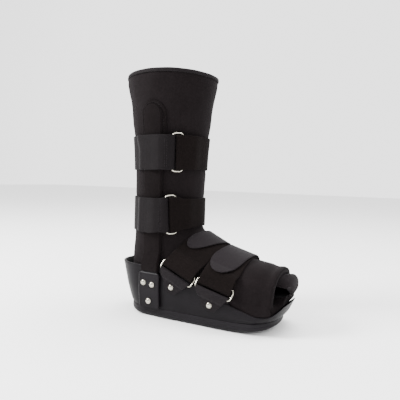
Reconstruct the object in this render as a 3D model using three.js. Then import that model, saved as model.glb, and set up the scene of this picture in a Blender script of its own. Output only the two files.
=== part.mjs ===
// Medical walking boot: a padded liner in a plastic shell with side struts, straps and rings.
// Millimetres, +Z up, the toe to +X. While the shapes are worked out the leg's axis is x = 0 and the
// ground is z = 0. The finished group is moved so that its origin is the middle of the footprint.
import * as THREE from "three";
import { mergeVertices } from "three/addons/utils/BufferGeometryUtils.js";

// Driving sizes of the whole boot
const bootHeight = 354;
const collarDepth = 138.8; // front to back at the top
const collarWidth = 126; // side to side at the top
const heelReach = 71; // leg axis back to the shell's rim
const toeReach = 195; // leg axis forward to the shell's rim
const instepHeight = 130; // ground to the crease between shaft and foot
const footWidth = 92; // liner, over the ball
const linerWall = 7;
const clearance = 0.3; // between pieces that touch

// Sole and shell
const soleHeight = 14;
const soleToeInset = 16; // the sole's tip behind the shell's rim
const soleFront = toeReach - soleToeInset;
const soleHeelInset = 19; // the sole's back edge ahead of the shell's rim
const soleBack = heelReach - soleHeelInset;
const soleWidth = 102;
const soleBevel = 4;
const toeSpring = 7; // how far the sole's tip is off the ground
const heelSpring = 3;
const flatFrom = 0.16; // the flat middle of the sole, as shares of its length
const flatTo = 0.7;
const springCurve = 1.6; // how sharply the toe rises
const seamSpring = 0.6; // the rise of the sole's seam, as a share of the toe's spring
const shellWidth = 108;
const shellWall = 3;
const shellFloor = 3;
const heelCupHeight = 74;
const wallLean = 0.8; // below 1 the wall leans out most near the sole

// Struts and their sleeves
const strutWidth = 26;
const strutThickness = 2.6;
const strutTop = 303;
const plateWidth = 35;
const plateThickness = 4.4;
const plateTop = 66;
const plateBottom = 14.5;
const plateStep = 3; // the length over which the plate narrows to the blade
const rowStep = 16; // between the rows of points up a strut and its sleeve
const sleeveWidth = 40;
const sleeveFoot = 30.6; // the sleeve's width near the plate
const sleeveThickness = 1.6;
const sleeveTop = 312;
const strutLean = 0.01; // how far the strut's middle moves forward for each millimetre up

// Straps, rings and rivets
const strapWidth = 50;
const strapThickness = 1.6;
const pileThickness = 2.2;
const upperStrapHeight = 237.3;
const lowerStrapRise = 17.4; // the lower strap's middle over the instep's crease
const lowerStrapHeight = instepHeight + lowerStrapRise;
const wire = 3.2;
const ringLength = 58.6;
const ringWidth = 18;
const ringCorner = 4.4; // radius of the wire's middle in a corner
const tabThickness = 1.6;
const rivetDiameter = 9.4;
const rivetDome = 2.4;
const rivetInset = 8; // from a tab's end to its rivet
const tabReach = 25; // from the ring's bar down to the tab's end
const tabTail = 4;
const tabDrop = 7; // over which a tab comes down from its fold
const foldDrop = 9; // the same for a strap
const foldGap = 0.56; // round a bar in its fold
const foldTail = 11; // the inner layer of a strap that is folded round a bar
const legSlack = 6.2; // how far a pile strap's fold reaches over its ring
const pileSlack = 5;
const bindingTape = 1.2;
const bindingHeight = 5;
const flapThickness = 6;
const flapDroop = 0.35; // how far its front edge comes down for each millimetre ahead
const flapAhead = 13; // how far the toe flap shows beyond the liner
const flapRows = 2; // how many of the liner's sections it lies under
const flapFrom = -13; // from and to in steps round the liner's section
const flapTo = 2;
const flapEnds = { topSlope: 3.4, topStart: 0.25, lowSlope: 3, lowStart: 0.35 }; // how its edge runs out
const strutBack = 1.5; // the strut's middle behind the leg's axis at its plate
const sleeveFade = 4; // beside a sleeve, over which a strap comes down to the liner
const strapLap = 42; // the part of a front strap near its end that is raised
const overlapRise = 2.2; // how far the end of a front strap lies over the back strap

const sides = [
  ["right", 1],
  ["left", -1],
];

// Straps round the leg: turns are angles round the leg, from the front over the right side. In front
// the lower edge is raised by a share of the strap's width.
const legStraps = [
  { name: "upper", height: upperStrapHeight, ringTurn: 0.94, backEnd: 4.18, frontEnd: -2.5, frontRaise: 0.04 },
  { name: "lower", height: lowerStrapHeight, ringTurn: 1.05, backEnd: 4.18, frontEnd: -2.5, frontRaise: 0.18 },
];

// Straps over the foot: how far forward the ring and the strap at the crest are, the ring's middle over
// the rim as a share of its width, its tilt in degrees, half the strap's width at the crest as a share
// of its own, and the tongue's end as a share of the strap's way round
const ankleRing = 0.219 * toeReach;
const ankleCrest = 0.3923 * toeReach;
const ringsApart = 56.3;
const crestsApart = 40;
const footStraps = [
  { name: "ankle", ring: ankleRing, aboveRim: 0.333, tilt: 23.5, crest: ankleCrest, crestHalf: 0.37, tongueEnd: 0.22 },
  { name: "instep", ring: ankleRing, aboveRim: 0.65, tilt: 14.5, crest: ankleCrest, crestHalf: 0.4, tongueEnd: 0.13 },
];
footStraps[1].ring += ringsApart;
footStraps[1].crest += crestsApart;

// Rivets of a strut's plate, as shares of the plate's width and of its top's height
const plateRivets = [
  { name: "back", across: -0.243, height: 0.7576 },
  { name: "front", across: 0.186, height: 0.735 },
  { name: "low", across: 0, height: 0.364 },
];

// Shaft of the liner from the collar down: height as a share of the boot's, girth of the collar's
const shaftRows = [
  { height: 1.0, girth: 1.0 },
  { height: 0.964, girth: 1.0 },
  { height: 0.93, girth: 0.966 },
  { height: 0.89, girth: 0.924 },
  { height: 0.848, girth: 0.893 },
  { height: 0.8, girth: 0.866 },
  { height: 0.75, girth: 0.83 },
  { height: 0.67, girth: 0.797 },
  { height: 0.56, girth: 0.773 },
  { height: 0.47, girth: 0.76 },
];

// Sections that fan round the instep. Crest and sole lengths are shares of the toe's reach, crest
// heights and the rise above the shell's floor are shares of the instep's height, and the side is a
// share of half the foot's width, or in the rows marked by shaft of the shaft's lower end. The powers
// round the upper and the lower half of each section.
const footRows = [
  { crest: 0.27, crestHeight: 1.125, sole: -0.271, rise: 0.944, shaft: 1, side: 0.9944, upper: 2, lower: 2 },
  { crest: 0.272, crestHeight: 1.01, sole: -0.272, rise: 0.713, shaft: 1, side: 0.9656, upper: 2, lower: 2 },
  { crest: 0.302, crestHeight: 0.945, sole: -0.275, rise: 0.482, shaft: 1, side: 0.9367, upper: 2.1, lower: 2.2 },
  { crest: 0.338, crestHeight: 0.905, sole: -0.275, rise: 0.267, shaft: 0.5, side: 0.9457, upper: 2.1, lower: 2.4 },
  { crest: 0.382, crestHeight: 0.872, sole: -0.24, rise: 0.09, side: 0.955, upper: 2.1, lower: 2.8 },
  { crest: 0.43, crestHeight: 0.841, sole: -0.155, rise: 0, side: 0.96, upper: 2.1, lower: 3.2 },
  { crest: 0.477, crestHeight: 0.808, sole: 0.01, rise: 0, side: 0.965, upper: 2.1, lower: 3.4 },
  { crest: 0.535, crestHeight: 0.773, sole: 0.22, rise: 0, side: 0.978, upper: 2.1, lower: 3.5 },
  { crest: 0.618, crestHeight: 0.726, sole: 0.448, rise: 0, side: 1, upper: 2.1, lower: 3.5 },
  { crest: 0.725, crestHeight: 0.686, sole: 0.655, rise: 0, side: 1, upper: 2.2, lower: 3.5 },
  { crest: 0.838, crestHeight: 0.655, sole: 0.8, rise: 0, side: 0.967, upper: 2.3, lower: 3.5 },
  { crest: 0.935, crestHeight: 0.622, sole: 0.902, rise: 0.03, side: 0.9, upper: 2.4, lower: 3.2 },
];

// Plan of the sole and shell: half width as a share of the widest, along a share of the length
const planRows = [
  { along: 0, half: 0.8 },
  { along: 0.15, half: 0.86 },
  { along: 0.34, half: 0.93 },
  { along: 0.5, half: 0.955 },
  { along: 0.7, half: 1 },
  { along: 0.85, half: 0.995 },
  { along: 1, half: 0.95 },
];
const heelRound = { share: 0.17, power: 2.2 };
const toeRound = { share: 0.15, power: 2.3 };

// Rim of the shell: height as a share of the heel cup's, along a share of the shell's length
const rimRows = [
  { along: 0, height: 1 },
  { along: 0.2, height: 1 },
  { along: 0.33, height: 0.99 },
  { along: 0.42, height: 0.89 },
  { along: 0.53, height: 0.75 },
  { along: 0.73, height: 0.505 },
  { along: 0.8, height: 0.415 },
  { along: 0.88, height: 0.345 },
  { along: 0.94, height: 0.355 },
  { along: 1, height: 0.51 },
];

const sectionPoints = 32;
const planPoints = 44;

function mix(a, b, share) {
  return a + (b - a) * share;
}

function ease(share) {
  const s = Math.min(Math.max(share, 0), 1);
  return s * s * (3 - 2 * s);
}

function power(base, exponent) {
  return Math.sign(base) * Math.abs(base) ** exponent;
}

// A smooth value from a table: place is looked up in the first column, or is the row number.
function lookUp(rows, place, value, column) {
  let low = 0;
  let share = place;
  if (column) {
    const last = rows.length - 2;
    while (low < last && rows[low + 1][column] < place) low += 1;
    share = (place - rows[low][column]) / (rows[low + 1][column] - rows[low][column]);
  } else {
    low = Math.min(Math.floor(place), rows.length - 2);
    share = place - low;
  }
  share = Math.min(Math.max(share, 0), 1);
  const row = (i) => rows[Math.min(Math.max(i, 0), rows.length - 1)][value];
  const [before, from, to, after] = [row(low - 1), row(low), row(low + 1), row(low + 2)];
  const square = share * share;
  const cube = square * share;
  return (
    from +
    0.5 * (to - before) * share +
    (before - 2.5 * from + 2 * to - 0.5 * after) * square +
    (1.5 * from - 0.5 * before - 1.5 * to + 0.5 * after) * cube
  );
}

// The closed triangle mesh of a list of quads, turned so that its faces point outwards.
function solid(quads) {
  const positions = [];
  for (const [a, b, c, d] of quads) {
    for (const p of [a, b, c, a, c, d]) positions.push(p.x, p.y, p.z);
  }
  let volume = 0;
  const at = (i) => new THREE.Vector3(positions[i], positions[i + 1], positions[i + 2]);
  for (let i = 0; i < positions.length; i += 9) {
    volume += at(i).dot(at(i + 3).cross(at(i + 6)));
  }
  if (volume < 0) {
    for (let i = 0; i < positions.length; i += 9) {
      for (let k = 0; k < 3; k += 1) {
        [positions[i + 3 + k], positions[i + 6 + k]] = [positions[i + 6 + k], positions[i + 3 + k]];
      }
    }
  }
  const loose = new THREE.BufferGeometry();
  loose.setAttribute("position", new THREE.Float32BufferAttribute(positions, 3));
  const merged = mergeVertices(loose, 1e-4);
  const index = [...merged.index.array];
  const kept = [];
  for (let i = 0; i < index.length; i += 3) {
    const [a, b, c] = index.slice(i, i + 3);
    if (a !== b && b !== c && c !== a) kept.push(a, b, c);
  }
  merged.setIndex(kept);
  merged.computeVertexNormals();
  return merged;
}

// The four-cornered faces between neighbouring rows of points.
function weave(rows, closed) {
  const quads = [];
  for (let i = 0; i + 1 < rows.length; i += 1) {
    const count = rows[i].length;
    const last = closed ? count : count - 1;
    for (let k = 0; k < last; k += 1) {
      const next = (k + 1) % count;
      quads.push([rows[i][k], rows[i][next], rows[i + 1][next], rows[i + 1][k]]);
    }
  }
  return quads;
}

// A solid between two sheets of points of the same layout.
function sheetSolid(front, back) {
  const rim = [...front[0]];
  const rimBack = [...back[0]];
  for (let i = 1; i < front.length; i += 1) {
    rim.push(front[i].at(-1));
    rimBack.push(back[i].at(-1));
  }
  for (let k = front[0].length - 2; k >= 0; k -= 1) {
    rim.push(front.at(-1)[k]);
    rimBack.push(back.at(-1)[k]);
  }
  for (let i = front.length - 2; i > 0; i -= 1) {
    rim.push(front[i][0]);
    rimBack.push(back[i][0]);
  }
  const flipped = weave(back, false).map((quad) => [...quad].reverse());
  return solid([...weave(front, false), ...flipped, ...weave([rimBack, rim], true)]);
}

// Plan outline of the sole and the shell
function planHalf(share) {
  const heel = Math.min(share / heelRound.share, 1);
  const toe = Math.min((1 - share) / toeRound.share, 1);
  const round = (part, exponent) => Math.max(1 - (1 - part) ** exponent, 0) ** (1 / exponent);
  const ends = round(heel, heelRound.power) * round(toe, toeRound.power);
  return lookUp(planRows, share, "half", "along") * ends;
}

const soleLength = soleBack + soleFront;
const shellLength = heelReach + toeReach;
const flatBack = -soleBack + flatFrom * soleLength;
const flatFront = -soleBack + flatTo * soleLength;

function groundRise(x) {
  const toe = Math.max(x - flatFront, 0) / (soleFront - flatFront);
  const heel = Math.max(flatBack - x, 0) / (soleBack + flatBack);
  return toeSpring * toe ** springCurve + heelSpring * heel ** 2;
}

function seamHeight(x) {
  const toe = Math.max(x - flatFront, 0) / (toeReach - flatFront);
  return soleHeight + seamSpring * toeSpring * toe ** springCurve;
}

function rimHeight(x) {
  return heelCupHeight * lookUp(rimRows, (x + heelReach) / shellLength, "height", "along");
}

// One point of a plan outline: turn runs from 0 at the heel round the right side to the toe and back.
function planPoint(turn, back, front, width, inset, heightAt) {
  const share = (1 - Math.cos(turn)) / 2;
  const x = mix(-back + inset, front - inset, share);
  const y = -Math.sign(Math.sin(turn)) * (width / 2 - inset) * planHalf(share);
  return new THREE.Vector3(x, Math.abs(Math.sin(turn)) < 1e-9 ? 0 : y, heightAt(x));
}

function planLoop(place) {
  return Array.from({ length: planPoints }, (_, k) => place((2 * Math.PI * k) / planPoints));
}

// Strips across a plan loop, which close it as a floor.
function acrossLoop(loop) {
  const quads = [];
  for (let k = 0; k < loop.length / 2; k += 1) {
    const other = (i) => loop[(loop.length - i) % loop.length];
    quads.push([loop[k], loop[k + 1], other(k + 1), other(k)]);
  }
  return quads;
}

// Bodies lofted through plan loops, closed across the first and the last.
function loopSolid(loops) {
  const last = acrossLoop(loops.at(-1)).map((quad) => [...quad].reverse());
  return solid([...acrossLoop(loops[0]), ...weave(loops, true).map((q) => [...q].reverse()), ...last]);
}

function outsoleShape() {
  const rows = [
    { up: 0, inset: soleBevel },
    { up: 0.35, inset: 0.2 * soleBevel },
    { up: 1, inset: 0 },
  ];
  const top = (x) => seamHeight(x) - clearance;
  return loopSolid(
    rows.map(({ up, inset }) =>
      planLoop((turn) =>
        planPoint(turn, soleBack, soleFront, soleWidth, inset, (x) => mix(groundRise(x), top(x), up)),
      ),
    ),
  );
}

// The shell's wall leans out from the seam to the rim: the outline at a share of its height.
function shellPoint(turn, up, inset, floor) {
  const lean = up ** wallLean;
  return planPoint(
    turn,
    mix(soleBack, heelReach, lean),
    mix(soleFront, toeReach, lean),
    mix(soleWidth, shellWidth, ease(2 * up)),
    inset,
    (x) => mix(seamHeight(x) + floor, rimHeight(x), up),
  );
}

const wallRows = [0, 0.25, 0.5, 0.75, 1];

function shellShape() {
  const outer = wallRows.map((up) => planLoop((turn) => shellPoint(turn, up, 0, 0)));
  const inner = wallRows.map((up) => planLoop((turn) => shellPoint(turn, up, shellWall, shellFloor)));
  return loopSolid([...outer, ...inner.reverse()]);
}

// Half the shell's outer width at a place on its side. Above the rim it leans back to the liner.
const leanAboveRim = 0.35;
const strapLean = 1.5; // the same for a strap that bends over the rim
const rimCover = 5; // how far above the rim the pieces that cover it stay upright

function shellHalf(x, z, leanBack = leanAboveRim) {
  const low = seamHeight(x);
  const high = rimHeight(x);
  const up = Math.min(Math.max((z - low) / (high - low), 0), 1);
  const lean = up ** wallLean;
  const back = mix(soleBack, heelReach, lean);
  const front = mix(soleFront, toeReach, lean);
  const share = Math.min(Math.max((x + back) / (back + front), 0), 1);
  const width = mix(soleWidth, shellWidth, ease(2 * up));
  return (width / 2) * planHalf(share) - leanBack * Math.max(z - high - rimCover, 0);
}

// Sections of the liner, from the collar round the heel to the toe
const linerTop = bootHeight - bindingTape - clearance;
const shaftEndWidth = shaftRows.at(-1).girth * collarWidth;
const linerRows = [
  ...shaftRows.map(({ height, girth }) => ({
    crestX: (girth * collarDepth) / 2,
    crestZ: height * linerTop,
    soleX: (-girth * collarDepth) / 2,
    soleZ: height * linerTop,
    half: (girth * collarWidth) / 2,
    upper: 2,
    lower: 2,
  })),
  ...footRows.map((row) => ({
    crestX: row.crest * toeReach,
    crestZ: row.crestHeight * instepHeight,
    soleX: row.sole * toeReach,
    soleZ: seamHeight(row.sole * toeReach) + shellFloor + clearance + row.rise * instepHeight,
    half: (row.side * mix(footWidth, shaftEndWidth, row.shaft ?? 0)) / 2,
    upper: row.upper,
    lower: row.lower,
  })),
];
const lastRow = linerRows.length - 1;

function section(row) {
  const at = (column) => lookUp(linerRows, row, column);
  const crest = new THREE.Vector3(at("crestX"), 0, at("crestZ"));
  const sole = new THREE.Vector3(at("soleX"), 0, at("soleZ"));
  const middle = crest.clone().add(sole).multiplyScalar(0.5);
  const towards = crest.clone().sub(sole);
  const reach = towards.length() / 2;
  towards.normalize();
  return { middle, towards, reach, half: at("half"), upper: at("upper"), lower: at("lower") };
}

// A point on the liner: turn is 0 on the crest and grows round the right side to half a circle below.
function linerPoint(row, turn, offset) {
  const { middle, towards, reach, half, upper, lower } = section(row);
  const exponent = 2 / (Math.cos(turn) >= 0 ? upper : lower);
  const along = (reach + offset) * power(Math.cos(turn), exponent);
  const side = (half + offset) * power(Math.sin(turn), exponent);
  return middle.clone().addScaledVector(towards, along).setY(-side);
}

// Row and turn of the liner's section that passes through a place in the side view.
function linerPlace(x, z) {
  const beside = (row) => {
    const { middle, towards } = section(row);
    return (x - middle.x) * towards.z - (z - middle.z) * towards.x;
  };
  let low = 0;
  let high = lastRow;
  for (let i = 0; i < 40; i += 1) {
    const row = (low + high) / 2;
    if (beside(row) > 0) low = row;
    else high = row;
  }
  const { middle, towards, reach, upper, lower } = section(low);
  const along = ((x - middle.x) * towards.x + (z - middle.z) * towards.z) / reach;
  const bounded = Math.min(Math.max(along, -1), 1);
  const exponent = (bounded >= 0 ? upper : lower) / 2;
  return { row: low, turn: Math.acos(power(bounded, exponent)) };
}

function linerHalf(x, z) {
  const { row, turn } = linerPlace(x, z);
  return -linerPoint(row, turn, 0).y;
}

// Half the width at a place in the side view, over the liner and the shell.
function sideHalf(x, z) {
  return Math.max(linerHalf(x, z), shellHalf(x, z));
}

function linerShape() {
  const turns = Array.from({ length: sectionPoints }, (_, k) => (2 * Math.PI * k) / sectionPoints);
  const loop = (row, offset) => turns.map((turn) => linerPoint(row, turn, offset));
  const outer = linerRows.map((_, row) => loop(row, 0));
  const inner = linerRows.map((_, row) => loop(row, -linerWall));
  return solid(weave([...outer, ...inner.reverse(), outer[0]], true));
}

// A strip of points between two edges of a table row, from one side (-1) to the other (1)
function strip(across, place) {
  return across.map((side) => place(side));
}

// Side pieces are sheets over the side view. On the left they are mirrored.
function onSide(side, x, z, lift) {
  return new THREE.Vector3(x, -side * (sideHalf(x, z) + lift), z);
}

// Binding: a tape folded over the liner's top edge
function bindingShape() {
  const girth = (z, offset, turn) => {
    const row = lookUp(shaftUp, z / linerTop, "girth", "height");
    const depth = (row * collarDepth) / 2 + offset;
    const width = (row * collarWidth) / 2 + offset;
    return new THREE.Vector3(depth * Math.cos(turn), -width * Math.sin(turn), z);
  };
  const low = linerTop - bindingHeight;
  const edge = linerTop + clearance;
  const outside = clearance;
  const inside = -linerWall - clearance;
  const profile = [
    [outside, low],
    [outside, edge],
    [inside, edge],
    [inside, low],
    [inside - bindingTape, low],
    [inside - bindingTape, edge + bindingTape],
    [outside + bindingTape, edge + bindingTape],
    [outside + bindingTape, low],
  ];
  const loops = [];
  for (let k = 0; k <= 2 * sectionPoints; k += 2) {
    const turn = (Math.PI * (k % (2 * sectionPoints))) / sectionPoints;
    loops.push(profile.map(([offset, z]) => girth(z, offset, turn)));
  }
  return solid(weave(loops, true));
}

// Half width of a round-ended strip at a distance from its end, which is never quite a point
const bluntEnd = 0.02;
function roundEnd(distance, half) {
  const left = Math.min(Math.max(1 - distance / half, 0), 1);
  return half * Math.sqrt(Math.max(1 - left ** 2, bluntEnd));
}

// Struts: a riveted plate on the shell's side that narrows to a blade up the liner's side
function strutMiddle(z) {
  return strutLean * (z - plateTop) - strutBack;
}

const barSpan = ringWidth - wire; // between the middles of a ring's bars
const acrossStrut = [-1, -0.5, 0, 0.5, 1];
const strutHeights = (() => {
  const high = heelCupHeight + rimCover;
  const heights = [plateBottom, mix(plateBottom, plateTop, 0.5), plateTop - plateStep, plateTop, high];
  for (let z = high + rowStep; z < strutTop - strutWidth / 2; z += rowStep) heights.push(z);
  for (const share of [0, 0.4, 0.7, 0.9, 1]) {
    heights.push(strutTop - (strutWidth / 2) * (1 - share));
  }
  return heights;
})();

function strutShape(side) {
  const sheet = (inner) =>
    strutHeights.map((z) => {
      const plate = 1 - ease((z - plateTop + plateStep) / plateStep);
      const narrowed = roundEnd(strutTop - z, strutWidth / 2) / strutWidth;
      const half = mix(strutWidth, plateWidth, plate) * narrowed;
      const lift = inner ? 2 * clearance : 2 * clearance + mix(strutThickness, plateThickness, plate);
      return strip(acrossStrut, (u) => onSide(side, strutMiddle(z) + u * half, z, lift));
    });
  return sheetSolid(sheet(false), sheet(true));
}

// Sleeves: a sewn flange round a raised middle that covers the strut above its plate
const sleeveRoom = 1; // beside the strut
const sleeveStep = 0.8; // the slope between the flange and the raised middle

function sleeveHalf(z) {
  const wide = ease((z - upperStrapHeight) / (strapWidth / 2));
  return mix(sleeveFoot, sleeveWidth, wide) / 2;
}

const sleeveCover = 4 * clearance + strutThickness;
const sleeveStack = sleeveCover + sleeveThickness + clearance;

function sleeveShape(side) {
  const high = heelCupHeight + rimCover;
  const heights = [plateTop + 3 * clearance, high];
  for (let z = high + rowStep; z < sleeveTop - sleeveWidth / 2; z += rowStep) heights.push(z);
  for (const share of [0, 0.35, 0.62, 0.82, 0.94, 1]) {
    heights.push(sleeveTop - (sleeveWidth / 2) * (1 - share));
  }
  const sheet = (outer) =>
    heights.map((z) => {
      const half = Math.min(sleeveHalf(z), roundEnd(sleeveTop - z, sleeveWidth / 2));
      const raisedHalf = Math.min(strutWidth / 2 + sleeveRoom, half - 1.6 * sleeveStep);
      const step = raisedHalf + sleeveStep;
      const across = [-half, -step, -raisedHalf, -raisedHalf / 2, 0, raisedHalf / 2, raisedHalf, step, half];
      return strip(across, (u) => {
        const covers = Math.abs(u) <= raisedHalf && z < (strutTop + sleeveTop) / 2;
        const lift = covers ? sleeveCover : 2 * clearance;
        return onSide(side, strutMiddle(z) + u, z, lift + (outer ? sleeveThickness : 0));
      });
    });
  return sheetSolid(sheet(true), sheet(false));
}

// A band is a path of stations, each with a distance along it and the lift of its middle layer. The
// place function turns distance, lift and a share across the width into a point.
function bandShape(path, thickness, place, across) {
  const layer = (side) =>
    path.map((station, i) => {
      const before = path[Math.max(i - 1, 0)];
      const after = path[Math.min(i + 1, path.length - 1)];
      const along = after.distance - before.distance;
      const up = after.lift - before.lift;
      const size = Math.hypot(along, up) * (2 / thickness) * side;
      const distance = station.distance - up / size;
      const lift = station.lift + along / size;
      return across.map((u) => place(distance, lift, u * (station.width ?? 1)));
    });
  return sheetSolid(layer(1), layer(-1));
}

// The end of a band that is folded round a bar: tail, bend and the way down to the low run. The
// slack is how far the fold reaches past the bar.
function foldRadius(thickness) {
  return wire / 2 + foldGap + thickness / 2;
}

function barLift(thickness) {
  return 3 * clearance + thickness / 2 + foldRadius(thickness);
}

function foldedEnd(thickness, tail, slack, drop) {
  const low = 3 * clearance + thickness / 2;
  const radius = foldRadius(thickness);
  const stations = [
    { distance: tail, lift: low },
    { distance: tail / 2, lift: low },
    { distance: 0, lift: low },
  ];
  const bends = 5;
  for (let i = 0; i <= bends; i += 1) {
    const turn = (Math.PI * i) / bends;
    stations.push({
      distance: -slack - radius * Math.sin(turn),
      lift: low + radius * (1 - Math.cos(turn)),
    });
  }
  const high = low + 2 * radius;
  for (const distance of [0, tail / 2, tail + 1]) stations.push({ distance, lift: high });
  stations.push({ distance: tail + 1 + drop / 2, lift: mix(high, low, 0.5) });
  stations.push({ distance: tail + 1 + drop, lift: low });
  return stations;
}

// Adds stations to a path wherever it passes one of the marks.
function withMarks(path, marks) {
  return path.flatMap((station, i) => {
    const next = path[i + 1];
    if (!next) return [station];
    const span = next.distance - station.distance;
    const shares = marks.map((mark) => (mark - station.distance) / span);
    const inside = shares.filter((share) => share > 0.05 && share < 0.95).sort((a, b) => a - b);
    const between = inside.map((share) => ({
      distance: mix(station.distance, next.distance, share),
      lift: mix(station.lift, next.lift, share),
    }));
    return [station, ...between];
  });
}

// A ring's frame from the ends of its two bars: the first bar is the one its pile strap folds round.
function barFrame(first, second) {
  const middle = ([a, b]) => a.clone().add(b).multiplyScalar(0.5);
  const [from, to] = [middle(second), middle(first)];
  const away = to.clone().sub(from).normalize();
  const along = first[1].clone().add(second[1]).sub(first[0]).sub(second[0]).normalize();
  along.addScaledVector(away, -along.dot(away)).normalize();
  const out = away.clone().cross(along);
  if (out.y > 0) out.negate();
  return { middle: from.add(to).multiplyScalar(0.5), away, along, out };
}

// A band is straight in the ring's frame up to its bar. Beyond it the band joins the surface.
function foldPlace(frame, bar, thickness, tail, surface) {
  const straight = (distance, lift, u) =>
    frame.middle
      .clone()
      .addScaledVector(frame.away, bar * (barSpan / 2 + distance))
      .addScaledVector(frame.along, (u * strapWidth) / 2)
      .addScaledVector(frame.out, lift - barLift(thickness));
  return (distance, lift, u) => {
    if (distance <= 0) return straight(distance, lift, u);
    const shift = straight(0, lift, u).sub(surface(0, lift, u));
    return surface(distance, lift, u).addScaledVector(shift, 1 - ease(distance / tail));
  };
}

// Leg straps: bands round the shaft at a height, over the sleeves
const shaftUp = [...shaftRows].reverse();

function shaftPoint(turn, lift, z) {
  const girth = lookUp(shaftUp, z / linerTop, "girth", "height");
  const depth = (girth * collarDepth) / 2;
  const width = (girth * collarWidth) / 2;
  const beside = Math.abs(depth * Math.cos(turn) - strutMiddle(z)) - sleeveHalf(z);
  const rise = sleeveStack * (1 - ease(beside / sleeveFade));
  const reach = lift + rise;
  return new THREE.Vector3((depth + reach) * Math.cos(turn), -(width + reach) * Math.sin(turn), z);
}

// A strap's width is straight, so that a ring's bar lies straight in its fold.
const acrossStrap = [-1, 1];
const legStep = 7;

function legPoint(strap, turn, lift, u) {
  const front = Math.max(Math.cos(turn), 0);
  const raised = u < 0 ? strap.frontRaise * strapWidth * front : 0;
  return shaftPoint(turn, lift, strap.height + (u * strapWidth) / 2 + raised);
}

// The turns of a leg ring's two bars, a bar's span apart
function barTurns(strap) {
  let half = barSpan / collarWidth;
  const bar = (turn, lift) => legPoint(strap, turn, lift, -1).add(legPoint(strap, turn, lift, 1));
  for (let i = 0; i < 8; i += 1) {
    const right = bar(strap.ringTurn - half, barLift(pileThickness));
    const left = bar(strap.ringTurn + half, barLift(strapThickness));
    half *= (2 * barSpan) / right.distanceTo(left);
  }
  return { right: strap.ringTurn - half, left: strap.ringTurn + half };
}

function legFrame(strap) {
  const { right, left } = barTurns(strap);
  const ends = (turn, lift) => acrossStrap.map((u) => legPoint(strap, turn, lift, u));
  return barFrame(ends(right, barLift(pileThickness)), ends(left, barLift(strapThickness)));
}

// The turns at which a leg strap passes the corners of a sleeve
function sleeveTurns(strap) {
  const turns = [];
  for (const u of acrossStrap) {
    const z = strap.height + (u * strapWidth) / 2;
    const depth = (lookUp(shaftUp, z / linerTop, "girth", "height") * collarDepth) / 2;
    for (const [, end] of sides) {
      for (const reach of [0, sleeveFade]) {
        const turn = Math.acos((strutMiddle(z) + end * (sleeveHalf(z) + reach)) / depth);
        turns.push(turn, -turn);
      }
    }
  }
  return turns;
}

function legBand(strap, thickness, bar, to, slack, high) {
  const turns = barTurns(strap);
  const from = bar > 0 ? turns.right : turns.left;
  const direction = Math.sign(to - from);
  const near = legPoint(strap, from, barLift(thickness), 0);
  const radius = near.distanceTo(legPoint(strap, from + 0.01, barLift(thickness), 0)) / 0.01;
  const length = radius * Math.abs(to - from);
  const path = foldedEnd(thickness, foldTail, slack, foldDrop);
  const low = path[0].lift;
  const start = path.at(-1).distance;
  const count = Math.ceil((length - start) / legStep);
  for (let i = 1; i <= count; i += 1) {
    const distance = mix(start, length, i / count);
    path.push({ distance, lift: low + high * ease((distance - length + strapLap) / foldTail) });
  }
  const surface = (distance, lift, u) => legPoint(strap, from + (direction * distance) / radius, lift, u);
  const place = foldPlace(legFrame(strap), bar, thickness, foldTail, surface);
  const marks = sleeveTurns(strap).map((turn) => direction * (turn - from) * radius);
  return bandShape(withMarks(path, marks), thickness, place, acrossStrap);
}

// A closed wire loop in its own plane: long side up, short side across
function ringShape(length, width) {
  const around = 6;
  const arc = 4;
  const reach = [width, length].map((size) => size / 2 - wire / 2 - ringCorner);
  const corners = [
    [1, 1],
    [-1, 1],
    [-1, -1],
    [1, -1],
  ];
  const path = [];
  corners.forEach(([sx, sy], quarter) => {
    for (let i = 0; i <= arc; i += 1) {
      const turn = (Math.PI / 2) * (quarter + i / arc);
      const x = sx * reach[0] + ringCorner * Math.cos(turn);
      const y = sy * reach[1] + ringCorner * Math.sin(turn);
      path.push(new THREE.Vector3(x, y, 0));
    }
  });
  const normal = new THREE.Vector3(0, 0, 1);
  const loops = path.map((point, i) => {
    const before = path.at(i - 1);
    const after = path[(i + 1) % path.length];
    const side = after.clone().sub(before).normalize().cross(normal);
    return Array.from({ length: around }, (_, k) => {
      const turn = (2 * Math.PI * (k + 0.5)) / around;
      return point
        .clone()
        .addScaledVector(side, (wire / 2) * Math.cos(turn))
        .addScaledVector(normal, (wire / 2) * Math.sin(turn));
    });
  });
  return solid(weave([...loops, loops[0]], true));
}

// Foot straps: the ring lies on the shell's rim, tilted with it, and the strap runs over the crest
function crestRow(x) {
  let low = 0;
  let high = lastRow;
  for (let i = 0; i < 40; i += 1) {
    const row = (low + high) / 2;
    if (section(row).middle.x + section(row).towards.x * section(row).reach < x) low = row;
    else high = row;
  }
  return low;
}

function footFrame(strap) {
  const tilt = THREE.MathUtils.degToRad(strap.tilt);
  const along = new THREE.Vector3(Math.cos(tilt), 0, -Math.sin(tilt));
  const up = new THREE.Vector3(Math.sin(tilt), 0, Math.cos(tilt));
  const middle = new THREE.Vector3(strap.ring, 0, rimHeight(strap.ring)).addScaledVector(up, strap.aboveRim * ringWidth);
  return { along, up, middle };
}

// The two edges of a foot strap, each with its place at the upper bar and its row at the crest
function footEdges(strap) {
  const { along, up, middle } = footFrame(strap);
  const bar = middle.clone().addScaledVector(up, strap.barRise);
  return acrossStrap.map((u) => {
    const at = bar.clone().addScaledVector(along, (u * strapWidth) / 2);
    const crest = strap.crest + u * strap.crestHalf * strapWidth;
    return { ...linerPlace(at.x, at.z), crest: crestRow(crest) };
  });
}

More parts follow.
